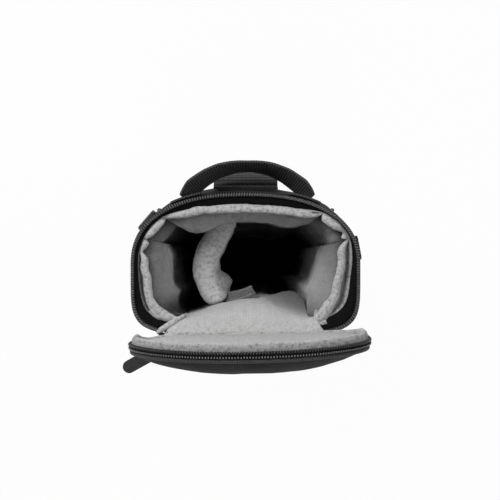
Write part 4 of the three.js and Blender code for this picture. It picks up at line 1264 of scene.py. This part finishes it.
class CASE_OT_zipper(bpy.types.Operator):
    """Makes both rows of zipper coil with their tapes, the joined end and its stop"""

    bl_idname = "camera_case.zipper"
    bl_label = "Zipper"

    def execute(self, context):
        form = CaseForm(context)
        start, end = form.hinge_half, form.mouth_length - form.hinge_half
        self.body_row(form, context, start, end)
        self.lid_row(form, context, start, end)
        self.body_tape(form, context, start, end)
        self.lid_tape(form, context, start, end)
        self.chain(form, context)
        return {"FINISHED"}

    @staticmethod
    def winding(form, start, end, height):
        """A coil round the edge of its tape: distance, depth and height of its wire, and phase."""
        turn = np.arange(int((end - start) / form.coil_pitch) * COIL_STEPS + 1) / COIL_STEPS
        phase = 2 * math.pi * turn
        along = start + form.coil_pitch * (turn + 0.08 * np.sin(phase))
        depth = 0.15 + (form.coil_width / 2 - COIL_WIRE) * np.cos(phase)
        rise = form.row_gap + height / 2 + (height / 2 - COIL_WIRE) * np.sin(phase)
        return along, depth, rise, phase

    @staticmethod
    def coil(context, name, path, crown, node, body):
        """One row's coil, with how strongly each point of it takes the painted highlight."""
        piece = grid_mesh(name, wire_rings(path))
        vertex_shares(piece, "crown", crown)
        dressed(piece, "coil", context)
        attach(piece, body)
        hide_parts(node)

    def body_row(self, form, context, start, end):
        along, depth, rise, phase = self.winding(form, start, end, form.coil_height)
        path = form.wall(along, depth, form.mouth_height - rise)
        # Painted highlight on the top of each turn of wire
        crown = np.repeat((1 - np.sin(phase)) / 2, COIL_SIDES)
        self.coil(context, "body_coil", path, crown, "body_zip_teeth", "case")

    def lid_row(self, form, context, start, end):
        """The lid's coil, taller than the body's, with the stitches that hold it to the tape."""
        along, depth, rise, phase = self.winding(form, start, end, form.coil_height + 0.5)
        path = form.lid(along, depth, rise)
        # Painted highlight on parts of each turn and on the wire's outward side, kept as its crown
        offsets = wire_rings(path) - path[:, None]
        out = form.lid(along, depth - 1, rise) - form.lid(along, depth, rise)
        crest = np.clip(np.sum(offsets * out[:, None], 2) / COIL_WIRE, 0, 1) ** 1.5
        crest = crest * np.clip(0.6 - np.cos(phase), 0, 1)[:, None]
        crown = np.maximum(0.4 * (1 + np.cos(phase))[:, None], crest)
        self.coil(context, "lid_coil", path, crown, "lid_zip_teeth", "lid")
        seam = np.arange(start + 1, end - 1, form.coil_pitch)
        level = form.gusset_start + 1.25
        middles = form.lid(seam, -0.62, level)
        outs = middles - form.lid(seam, 1.0, level)
        outs /= np.linalg.norm(outs, axis=1)[:, None]
        across = form.lid(seam, 0, 4) - form.lid(seam, 0, 3)
        thread = stitches("lid_stitches", zip(middles, across, outs), 0.42, 0.17, 0.16)
        dressed(thread, "thread", context)
        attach(thread, "lid")

    @staticmethod
    def body_tape(form, context, start, end):
        """The body's tape runs from under the coil inwards and tucks under the pads' flanges."""
        along = np.arange(start, end, 1.2)
        tables = [roll["flange"] for _, _, _, roll, _ in WALL_PADS.values()]
        edge = smooth_table(along, sorted({d: v for t in tables for d, v in t}.items()))
        rings = []
        for s, e in zip(along, edge):
            inner = e + 0.25
            profile = np.array([
                (-0.85, 127.8), (-0.6, 128.05), (1.1, 128.0), (inner * 0.55, 127.6),
                (inner, 127.0), (inner + 0.3, 125.8), (inner - 0.3, 125.6),
                (inner * 0.55, 126.9), (1.2, 127.4), (-0.6, 127.5),
            ])
            rings.append(form.wall(s, profile[:, 0], profile[:, 1]))
        piece = grid_mesh("body_tape", np.array(rings))
        dressed(piece, "tape", context)
        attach(piece, "case")
        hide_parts("body_zip_tape")

    @staticmethod
    def lid_tape(form, context, start, end):
        """The lid's tape runs from under the coil to the lining and bends in under it."""
        along = np.arange(start, end, 1.2)
        start_level = form.row_gap + form.coil_height + 0.55
        profile = np.array([(-0.75, 0.15), (-0.55, 0), (1.3, 0), (2.6, 0.1), (3.6, 0.5),
                            (3.6, 0.95), (2.6, 0.6), (1.3, 0.5), (-0.55, 0.5), (-0.75, 0.4)])
        profile[:, 1] += start_level
        rings = np.array([form.lid(s, profile[:, 0], profile[:, 1]) for s in along])
        piece = grid_mesh("lid_tape", rings)
        dressed(piece, "tape", context)
        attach(piece, "lid")
        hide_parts("lid_zip_tape")

    @staticmethod
    def chain(form, context):
        """The joined end: both coils meshed, a moulded stop, and the tape they are sewn to."""
        origin, ahead, out = slider_axes(form)
        down = np.array((0, 0, -1.0))
        turns = 7
        turn = np.arange(turns * COIL_STEPS + 1) / COIL_STEPS
        pieces = []
        for side in (-1, 1):
            phase = 2 * math.pi * turn + (0 if side > 0 else math.pi)
            x = 0.4 + form.coil_pitch * turn
            a = 0.85 * np.sin(phase)
            b = side * (0.75 + 0.75 * np.cos(phase))
            path = origin + x[:, None] * ahead + a[:, None] * out + b[:, None] * down
            pieces.append(grid_mesh("chain", tube_rings(path, 0.33, COIL_SIDES, ahead + 0.01)))
        coil = joined("chain_coil", pieces)
        dressed(coil, "coil", context)
        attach(coil, "case")
        stop = rounded_block("chain_stop", (2.4, 2.8, 3.5), 0.5)
        place_by_axes(stop, origin + 11.9 * ahead, ahead, out, down)
        dressed(stop, "coil", context)
        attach(stop, "case")
        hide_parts("zip_chain_end")
        rows = np.linspace(0.6, 12.4, 24)
        path = origin + rows[:, None] * ahead + 4.0 * down
        strip = strap_rings(path, 4.0, down, 0.7, 0.0)
        tape = grid_mesh("chain_tape", roughened(strip, (0.12, 3.0, 2)), smooth_angle=50)
        dressed(tape, "tape", context)
        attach(tape, "case")
        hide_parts("zip_end_tape")


def slider_axes(form):
    """The slider's middle, the direction along the joined rows and the direction outwards."""
    distance = form.mouth_length - form.hinge_half
    z = form.mouth_height - SLIDER_DROP
    centre = form.wall(distance, 0, z)
    ahead = form.wall(distance + 1, 0, z) - form.wall(distance - 1, 0, z)
    ahead /= np.linalg.norm(ahead)
    out = np.cross(ahead, (0, 0, 1))
    stand_off = form.coil_width / 2 + SLIDER_PLAY + SLIDER_PLATE + form.seam_piping
    return centre + out * stand_off, ahead, out


def place_by_axes(piece, origin, x_axis, y_axis, z_axis):
    """Moves a piece modelled about the origin, in metres, to its own axes in millimetres."""
    turned = Matrix(np.column_stack([x_axis, y_axis, z_axis]).tolist()).to_4x4()
    turned.translation = Vector(np.asarray(origin) * MM)
    piece.data.transform(turned)
    work = bmesh.new()
    work.from_mesh(piece.data)
    if work.calc_volume(signed=True) < 0:
        bmesh.ops.reverse_faces(work, faces=work.faces)
        work.to_mesh(piece.data)
    work.free()
    piece.data.update()


def rounded_block(name, size, edge, middle=(0, 0, 0)):
    """A block with rounded edges, added as a cube, scaled, bevelled and moved to its place, all
    in millimetres."""
    bpy.ops.object.select_all(action="DESELECT")
    bpy.ops.mesh.primitive_cube_add(size=1)
    piece = bpy.context.object
    piece.name = name
    piece.scale = Vector(size) * MM
    bpy.ops.object.transform_apply(location=True, rotation=True, scale=True)
    bevel = piece.modifiers.new("edge", "BEVEL")
    bevel.width = edge * MM
    bevel.segments = 3
    bevel.limit_method = "NONE"
    bpy.ops.object.modifier_apply(modifier="edge")
    piece.data.shade_smooth()
    piece.data.transform(Matrix.Translation(Vector(middle) * MM))
    return piece


class CASE_OT_lid(bpy.types.Operator):
    """Makes the lid: side band, piping, domed top, lining, and the fold it hangs on"""

    bl_idname = "camera_case.lid"
    bl_label = "Lid"

    def execute(self, context):
        form = CaseForm(context)
        seed = context.scene.camera_case.colours.fray
        turns = np.linspace(0, form.mouth_length, 300, endpoint=False)
        self.band(form, context, turns, seed)
        path = form.lid(turns, 1.0, self.piping_level(form))
        rings = tube_rings(path, form.lid_piping, 12, (0, 1, 0.02), True)
        piece = grid_mesh("lid_cord", rings, ring=True)
        dressed(piece, "piping", context)
        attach(piece, "lid")
        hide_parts("lid_piping")
        self.top(form, context, turns, seed)
        self.pad(form, context, turns, seed)
        self.fold(form, context)
        return {"FINISHED"}

    @staticmethod
    def piping_level(form):
        """How far above the mouth the lid's piping runs."""
        return form.gusset_height + form.lid_piping + 0.3

    @staticmethod
    def dome(form, share):
        """How far the lid's top rises at a share of the way from its middle to its edge."""
        return form.lid_dome * (1 - share ** 3.2)

    @staticmethod
    def band(form, context, turns, seed):
        """The fabric band round the lid's side."""
        low, high = form.gusset_start + 0.85, form.gusset_height + 0.2
        profile = np.array([
            (0.1, low), (-0.4, low + 0.15), (-0.6, low + 0.5), (-0.55, high - 0.3), (-0.1, high),
            (0.9, high + 0.1), (1.5, high - 0.3), (1.6, low + 0.7), (1.6, low + 0.2),
            (1.0, low - 0.05),
        ])
        rings = np.array([form.lid(s, profile[:, 0], profile[:, 1]) for s in turns])
        piece = grid_mesh("lid_band", roughened(rings, (0.12, 6.0, seed)), ring=True)
        dressed(piece, "fabric", context)
        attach(piece, "lid")
        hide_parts("lid_gusset")

    @staticmethod
    def plate(form, turns, depth, shares, level):
        """Rings from the middle outwards over the closed lid, at the level of each share."""
        x, y = form.outline(form.turn(turns), form.mouth, depth)
        return [form.opened(x * share, y * share, np.full(len(turns), z))
                for share, z in zip(shares, level)]

    def top(self, form, context, turns, seed):
        """The lid's domed outer face."""
        depth = 1.0 + form.lid_piping + 0.2
        shares = np.concatenate([[0.004], np.linspace(0.06, 0.9, 22), [0.94, 0.97, 1.0]])
        upper = self.piping_level(form) + form.fabric / 2 + self.dome(form, shares)
        rows = self.plate(form, turns, depth, shares, upper)
        rows += self.plate(form, turns, depth, shares[::-1], (upper - form.fabric)[::-1])
        rings = np.array(rows)
        piece = grid_mesh("lid_top", roughened(rings, (0.45, 18.0, seed), (0.12, 5.0, seed)))
        self.flat_map(piece)
        dressed(piece, "fabric", context)
        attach(piece, "lid")
        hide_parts("lid_top_panel")

    @staticmethod
    def flat_map(piece):
        """Maps the weave straight across a flat piece, from its X and Z."""
        layer = piece.data.uv_layers["UVMap"].data
        for loop in piece.data.loops:
            x, _, z = piece.data.vertices[loop.vertex_index].co
            layer[loop.index].uv = (x, z)

    def pad(self, form, context, turns, seed):
        """The lid's lined pad, crowned towards the case, with a soft rolled rim."""
        valley = LID_RIM_DEPTH + LID_RIM_RADIUS + 0.2
        angles = np.linspace(0, 215, 14)
        shares = np.concatenate([[0.004], np.linspace(0.08, 0.9, 16), np.linspace(0.93, 1.0, 4)])
        rows = self.plate(form, turns, valley, shares, -0.2 - 1.3 * (1 - shares ** 4))
        _, reach = form.outline(form.turn(turns), form.mouth, 0)
        rise = LID_RIM_RADIUS + 1.7 * np.clip((reach + form.mouth_front - 6) / 24, 0, 1)
        for angle in np.radians(angles):
            depth = LID_RIM_DEPTH + LID_RIM_RADIUS * math.cos(angle)
            x, y = form.outline(form.turn(turns), form.mouth, depth)
            lift = LID_RIM_RADIUS if angle > math.pi else rise
            rows.append(form.opened(x, y, LID_RIM_LEVEL - lift * math.sin(angle)))
        back = shares[::-1]
        rows += self.plate(form, turns, valley - 2.2, back, 4.3 + self.dome(form, back))
        rings = np.array(rows)
        piece = grid_mesh("lid_pad", roughened(rings, (0.3, 9.0, seed), (0.12, 2.5, seed)))
        self.flat_map(piece)
        rim = np.zeros(len(rings))
        rim[len(shares):-len(shares)] = 1
        # Painted light and shade round the rim's roll: lighter on its crest, darker on its inner
        # side
        tone = np.ones(len(rings))
        tone[len(shares):-len(shares)] = np.interp(
            angles, [0, 40, 80, 100, 130, 180], [0.8, 0.9, 1.08, 1.0, 0.72, 0.6])
        vertex_shares(piece, "tone", np.repeat(tone, rings.shape[1]))
        vertex_shares(piece, "fuzz", np.repeat(0.45 + 0.55 * rim, rings.shape[1]))
        dressed(piece, "lining", context)
        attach(piece, "lid")
        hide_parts("lid_lining", "lid_foam")

    @staticmethod
    def fold(form, context):
        """The fold of fabric along the front edge, from the body's panel to the lid's band."""
        half = form.hinge_half - 1
        xs = np.linspace(-half, half, 90)
        y, z = -form.mouth_front, form.mouth_height
        turns = np.radians(np.arange(0, 360, 22.5))
        rings = []
        for x in xs:
            radius = 1.75 + 0.12 * math.sin(x * 0.9) * math.sin(x * 0.23)
            rings.append([(x, y + radius * math.cos(t), z + radius * math.sin(t)) for t in turns])
        piece = grid_mesh("fold_roll", np.array(rings))
        dressed(piece, "fabric", context)
        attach(piece, "case")
        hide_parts("hinge_fold")


class CASE_OT_divider(bpy.types.Operator):
    """Makes the curved padded divider with its two hook tabs"""

    bl_idname = "camera_case.divider"
    bl_label = "Divider"

    def execute(self, context):
        form = CaseForm(context)
        seed = context.scene.camera_case.colours.fray
        top = form.mouth_height - form.divider_drop
        bottom = form.pad_bottom + 2.9
        count = 64
        rows = np.linspace(0, len(DIVIDER_EDGES) - 1, count)
        rings = []
        for row, ox, oy, ix, iy in zip(rows, *smooth_rows(DIVIDER_EDGES, count)):
            middle = np.array(((ox + ix) / 2, (oy + iy) / 2, 0))
            side = np.array(((ix - ox) / 2, (iy - oy) / 2, 0))
            from_end = min(row, rows[-1] - row)
            lift = -2.4 * max(0.0, 1 - from_end / 1.5) ** 2
            lean = 9.0 * math.exp(-((oy + 14) / 8) ** 2) / np.linalg.norm(side)
            profile = [(-0.8, bottom, 0), (-0.94, bottom + 8, 0), (-0.98, 45, 0), (-1.0, 75, 0),
                       (-1.0, 90, 0), (-1.0, 94.5, 0), (-0.95, 97, 0), (-0.8, 98.9, 0),
                       (-0.55, 99.9, 0), (-0.25, 100.3, 0), (0, 100.4, 0), (0.25, 100.3, 0),
                       (0.55, 99.9, 0), (0.8, 98.9, 0), (0.95, 97, 0), (1.0, 94.5, 0.1),
                       (0.98, 90, 0.4), (0.97, 80, 1), (0.97, 60, 0.8), (0.95, 40, 0.3),
                       (0.92, bottom + 8, 0), (0.8, bottom, 0)]
            rings.append([
                middle + side * (share + extra * lean)
                + (0, 0, z + (lift if z > 90 else 0) + top - 100)
                for share, z, extra in profile
            ])
        rings = roughened(np.array(rings), (0.55, 7.0, seed), (0.3, 2.4, seed))
        pad = grid_mesh("divider_body", rings)
        only(pad)
        smooth = pad.modifiers.new("soft", "SUBSURF")
        smooth.levels = smooth.render_levels = 1
        bpy.ops.object.modifier_apply(modifier="soft")
        dressed(pad, "fuzzy", context)
        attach(pad, "divider")
        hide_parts("divider_pad")
        self.tab(context, "front_hook_tab", "divider_tab_front",
                 [(-12.1, -20.0, 92.2), (-8.1, -19.6, 92.4), (-3.1, -18.6, 92.2),
                  (0.9, -17.3, 91.6), (4.5, -15.6, 90.6)], (0.15, 0.80, -0.62), "hook")
        # The back tab takes the nearly black cloth, painted shade deep in the case
        self.tab(context, "back_hook_tab", "divider_tab_back",
                 [(-9.6, 21.4, 88), (-5, 21.6, 88), (0, 21.8, 88), (4.0, 22.0, 88)], (0, 0.05, 1),
                 "hook_painted_shade")
        return {"FINISHED"}

    @staticmethod
    def tab(context, name, node, path, across, kind):
        """A flat hook tab with a row of stitches along each edge."""
        points = np.stack(smooth_rows(path, 30), 1)
        rings = strap_rings(points, HOOK_WIDTH, across, HOOK_THICKNESS, 0.05)
        tab = grid_mesh(name, rings, smooth_angle=50)
        dressed(tab, kind, context)
        ahead = along_path(points)
        side = np.broadcast_to(across, ahead.shape) / np.linalg.norm(across)
        out = np.cross(ahead, side)
        thread = stitches(f"{name}_stitches", [
            (points[i] + side[i] * edge * HOOK_WIDTH + out[i] * 0.56, ahead[i], out[i])
            for edge in (-0.38, 0.38) for i in range(1, len(points) - 2, 2)
        ], 0.62, 0.16, 0.22)
        dressed(thread, "thread" if kind == "hook" else kind, context)
        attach(tab, "divider")
        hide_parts(node)
        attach(thread, "divider")


class CASE_OT_handle(bpy.types.Operator):
    """Makes the webbing carry handle with its sewn ends, and the belt loop"""

    bl_idname = "camera_case.handle"
    bl_label = "Handle and belt loop"

    def execute(self, context):
        form = CaseForm(context)
        height = form.mouth_height - form.handle_drop
        start = form.back_surface(form.handle_half_span, height) + form.handle_stand_off
        share = np.linspace(-1, 1, 90)
        path = np.stack([
            HANDLE_SHIFT + (form.handle_half_span - HANDLE_INSET) * share,
            start - HANDLE_SINK
            + (form.handle_reach + HANDLE_SLACK) * (1 - np.abs(share) ** 2.3),
            np.full(len(share), height),
        ], 1)
        lean = np.radians(HANDLE_LEAN + HANDLE_END_LEAN * np.abs(share) ** 1.6)
        widening = np.minimum(1, (1 - np.abs(share)) / 0.16) ** 0.8
        width = HANDLE_END_WIDTH + (form.handle_width - HANDLE_END_WIDTH) * widening
        across = np.stack([np.zeros_like(lean), np.sin(lean), np.cos(lean)], 1)
        rings = strap_rings(path, width, across, form.handle_thickness, 0.04, 13)
        strap = grid_mesh("carry_strap", roughened(rings, (0.25, 6.0, 4)), smooth_angle=50)
        dressed(strap, "webbing", context)
        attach(strap, "handle")
        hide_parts("handle_strap")
        for side, name in ((-1, "left"), (1, "right")):
            self.sewn_end(form, context, name, side, height)
        self.belt_loop(form, context)
        return {"FINISHED"}

    @staticmethod
    def sewn_end(form, context, name, side, height):
        """The handle's end, folded under and sewn flat on the back panel."""
        far = form.handle_half_span + form.handle_thickness / 2 + 2.9
        xs = np.linspace(far, 25.5, 40)
        level = height + 1.5
        path = np.stack([side * xs, form.back_surface(xs, level) + 1.0, np.full(len(xs), level)], 1)
        inner = np.sqrt(np.clip(1 - ((32 - xs) / 7.2).clip(0, 1) ** 2, 0.04, 1))
        outer = np.minimum(1, 0.6 + (far - xs) / 3)
        piece = grid_mesh(f"handle_end_{name}",
                          strap_rings(path, 11 * inner * outer, (0, 0, 1), 1.6, 0.05))
        dressed(piece, "webbing", context)
        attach(piece, "case")
        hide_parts(f"handle_anchor_{name}")

    @staticmethod
    def belt_loop(form, context):
        """Wide webbing down the middle of the back, sewn fast at both ends."""
        top = form.mouth_height - form.belt_top_drop
        share = np.linspace(0, 1, 90)
        z = form.belt_bottom + (top - form.belt_bottom) * share
        free = form.belt_seam / (top - form.belt_bottom)
        inside = np.clip((share - free) / (1 - 2 * free), 0, 1)
        arch = (form.belt_reach + BELT_SLACK) * np.sin(math.pi * inside) ** 0.5
        y = form.reach(z)[1] + 0.3 + form.belt_thickness / 2 + arch
        path = np.stack([np.zeros_like(z), y, z], 1)
        rings = strap_rings(path, form.belt_width, (1, 0, 0), form.belt_thickness, 0.03, 17)
        loop = grid_mesh("belt_strap", roughened(rings, (0.2, 9.0, 8)), smooth_angle=50)
        dressed(loop, "belt", context)
        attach(loop, "case")
        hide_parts("belt_loop")
        thread = stitches("belt_stitches", [
            (np.array((x, float(form.reach(level)[1]) + 0.42 + form.belt_thickness, level)),
             np.array((1.0, 0, 0)), np.array((0, 1.0, 0)))
            for level in (form.belt_bottom + 2, form.belt_bottom + 6, top - 6, top - 2)
            for x in np.arange(-17, 17.1, 2.4)
        ], 0.8, 0.22, 0.25)
        dressed(thread, "piping", context)
        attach(thread, "case")


class CASE_OT_tabs(bpy.types.Operator):
    """Makes the two folded webbing tabs for a shoulder strap"""

    bl_idname = "camera_case.tabs"
    bl_label = "Strap tabs"

    def execute(self, context):
        form = CaseForm(context)
        places = {"right": form.hinge_half + form.right_tab,
                  "left": form.mouth_length - form.hinge_half - form.left_tab}
        for name, distance in places.items():
            self.tab(form, context, name, distance)
        return {"FINISHED"}

    @staticmethod
    def tab(form, context, name, distance):
        """A strap end folded up into a flat loop and sewn through near its top."""
        top = form.mouth_height - form.tab_drop
        bottom = top - form.tab_length
        middle = (top + bottom) / 2
        ahead = form.wall(distance + 1, 0, middle) - form.wall(distance - 1, 0, middle)
        ahead /= np.linalg.norm(ahead)
        out = np.cross(ahead, (0, 0, 1))
        fold = (form.tab_thickness + form.tab_opening) / 2
        inner = 0.1 + form.tab_thickness / 2
        level = bottom + fold + form.tab_thickness / 2
        rows = [(inner, z) for z in np.linspace(top, level, 16)]
        rows += [(inner + fold + fold * math.cos(a), level + fold * math.sin(a))
                 for a in np.radians(np.linspace(200, 340, 9))]
        rows += [(inner + 2 * fold - 0.55 * min(1.0, max(0.0, (z - top + 9) / 4)), z)
                 for z in np.linspace(level, top, 16)]
        path = np.array([form.wall(distance, 0, z) + out * o for o, z in rows])
        rings = strap_rings(path, form.tab_width, ahead, form.tab_thickness, 0.02, 9)
        tab = grid_mesh(f"webbing_tab_{name}", rings, smooth_angle=50)
        dressed(tab, "webbing", context)
        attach(tab, "case")
        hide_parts(f"strap_tab_{name}")
        seam = inner + 2 * fold - 0.55 + form.tab_thickness / 2 + 0.05
        thread = stitches(f"tab_stitches_{name}", [
            (form.wall(distance, 0, z) + out * seam + ahead * x, ahead, out)
            for z in (top - 2, top - 5) for x in np.arange(-4.8, 4.9, 2.4)
        ], 0.8, 0.2, 0.22)
        dressed(thread, "piping", context)
        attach(thread, "case")


class CASE_OT_slider(bpy.types.Operator):
    """Makes the zipper's slider and its plain rubber pull"""

    bl_idname = "camera_case.slider"
    bl_label = "Slider and pull"

    def execute(self, context):
        form = CaseForm(context)
        origin, ahead, out = slider_axes(form)
        down = np.array((0, 0, -1.0))
        channel = form.coil_width / 2 + SLIDER_PLAY
        bar = channel + SLIDER_PLATE + SLIDER_BAR
        parts = []
        for side in (-1, 1):
            parts.append(self.plate(side * (channel + SLIDER_PLATE / 2)))
            for level in (-1, 1):
                parts.append(rounded_block("rail", (5.6, channel - 0.8, 1.1), 0.3,
                                           (0.4, side * (channel + 0.8) / 2, level * 2.85)))
            parts.append(rounded_block("arm", (1.6, 3.4, 1.2), 0.35,
                                       (0, channel + SLIDER_PLATE + 1.6, side * 2.9)))
        parts.append(rounded_block("wedge", (2.6, 2 * channel + 0.4, 2.4), 0.8, (-2.4, 0, 0)))
        parts.append(self.post(bar, 6.6))
        slider = joined("slider_body", parts)
        place_by_axes(slider, origin, ahead, out, down)
        dressed(slider, "metal", context)
        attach(slider, "slider")
        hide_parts("zip_slider")
        self.pull(form, context, origin + out * bar)
        return {"FINISHED"}

    @staticmethod
    def plate(level):
        """A slider plate: a bevelled block whose front end is drawn in."""
        piece = rounded_block("plate", (9, SLIDER_PLATE, 7.2), 0.38, (0, level, 0))
        for vertex in piece.data.vertices:
            x, _, z = vertex.co / MM
            narrow = 1 - 0.34 * max(0.0, (x - 0.5) / 4) ** 1.5
            vertex.co.z = z * narrow * MM
        return piece

    @staticmethod
    def post(level, span):
        """The bar that the pull hangs on."""
        bpy.ops.object.select_all(action="DESELECT")
        bpy.ops.mesh.primitive_cylinder_add(vertices=20, radius=0.7 * MM, depth=span * MM,
                                            location=(0, level * MM, 0))
        piece = bpy.context.object
        bpy.ops.object.transform_apply(location=True, rotation=True, scale=True)
        piece.data.shade_smooth()
        return piece

    @staticmethod
    def pull(form, context, pivot):
        """The pull: an eye on the slider's bar and a long tongue with a round end, left plain."""
        half = form.pull_width / 2
        eye, eye_out = 1.1, 2.3
        edge = [(eye_out * math.cos(a), eye_out * math.sin(a))
                for a in np.radians(np.linspace(40, 320, 22))]
        low = [(4.4, -2.5), (6.4, -half + 0.15), (8.4, -half)]
        tip = [(form.pull_length + half * math.cos(a), half * math.sin(a))
               for a in np.radians(np.linspace(-90, 90, 22))]
        side = [(8.4, half), (6.4, half - 0.15), (4.4, 2.5)]
        work = bmesh.new()
        hole = [(eye * math.cos(a), eye * math.sin(a)) for a in np.radians(np.arange(0, 360, 15))]
        outer = [work.verts.new((x * MM, y * MM, 0)) for x, y in edge + low + tip + side]
        inner = [work.verts.new((x * MM, y * MM, 0)) for x, y in hole]
        edges = [work.edges.new((a, b)) for ring in (outer, inner)
                 for a, b in zip(ring, ring[1:] + ring[:1])]
        bmesh.ops.triangle_fill(work, edges=edges, use_beauty=True, use_dissolve=False)
        mesh = bpy.data.meshes.new("rubber_tongue")
        work.to_mesh(mesh)
        work.free()
        piece = bpy.data.objects.new("rubber_tongue", mesh)
        context.collection.objects.link(piece)
        only(piece)
        thick = piece.modifiers.new("thickness", "SOLIDIFY")
        thick.thickness = form.pull_thickness * MM
        thick.offset = 0
        bpy.ops.object.modifier_apply(modifier="thickness")
        bevel = piece.modifiers.new("edge", "BEVEL")
        bevel.width = 0.55 * MM
        bevel.segments = 3
        bevel.limit_method = "ANGLE"
        bevel.angle_limit = math.radians(50)
        bpy.ops.object.modifier_apply(modifier="edge")
        bpy.ops.object.shade_smooth_by_angle(angle=math.radians(40))
        heading = math.radians(PULL_HEADING)
        place_by_axes(piece, pivot, (math.cos(heading), math.sin(heading), 0),
                      (-math.sin(heading), math.cos(heading), 0), (0, 0, 1))
        dressed(piece, "rubber", context)
        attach(piece, "pull")
        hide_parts("zip_pull")


class CASE_PT_sidebar(bpy.types.Panel):
    """Lists the case's sizes, colours and pieces"""

    bl_idname = "CASE_PT_sidebar"
    bl_label = "Camera Case"
    bl_space_type = "VIEW_3D"
    bl_region_type = "UI"
    bl_category = "Camera Case"

    def draw(self, context):
        settings = context.scene.camera_case
        for group in (settings.sizes, settings.colours):
            box = self.layout.box()
            for name in type(group).__annotations__:
                box.prop(group, name)
        for operator in OPERATORS:
            self.layout.operator(operator.bl_idname)


OPERATORS = (
    CASE_OT_stage, CASE_OT_pads, CASE_OT_shell, CASE_OT_zipper, CASE_OT_lid, CASE_OT_divider,
    CASE_OT_handle, CASE_OT_tabs, CASE_OT_slider,
)
GROUPS = (CaseSizes, CaseColours, CameraCaseSettings)


def register():
    for kind in (*GROUPS, *OPERATORS, CASE_PT_sidebar):
        bpy.utils.register_class(kind)
    bpy.types.Scene.camera_case = PointerProperty(type=CameraCaseSettings)


def unregister():
    del bpy.types.Scene.camera_case
    for kind in reversed((*GROUPS, *OPERATORS, CASE_PT_sidebar)):
        bpy.utils.unregister_class(kind)


def main():
    register()
    bpy.ops.camera_case.stage()
    bpy.ops.camera_case.pads()
    bpy.ops.camera_case.shell()
    bpy.ops.camera_case.zipper()
    bpy.ops.camera_case.lid()
    bpy.ops.camera_case.divider()
    bpy.ops.camera_case.handle()
    bpy.ops.camera_case.tabs()
    bpy.ops.camera_case.slider()


if __name__ == "__main__":
    main()
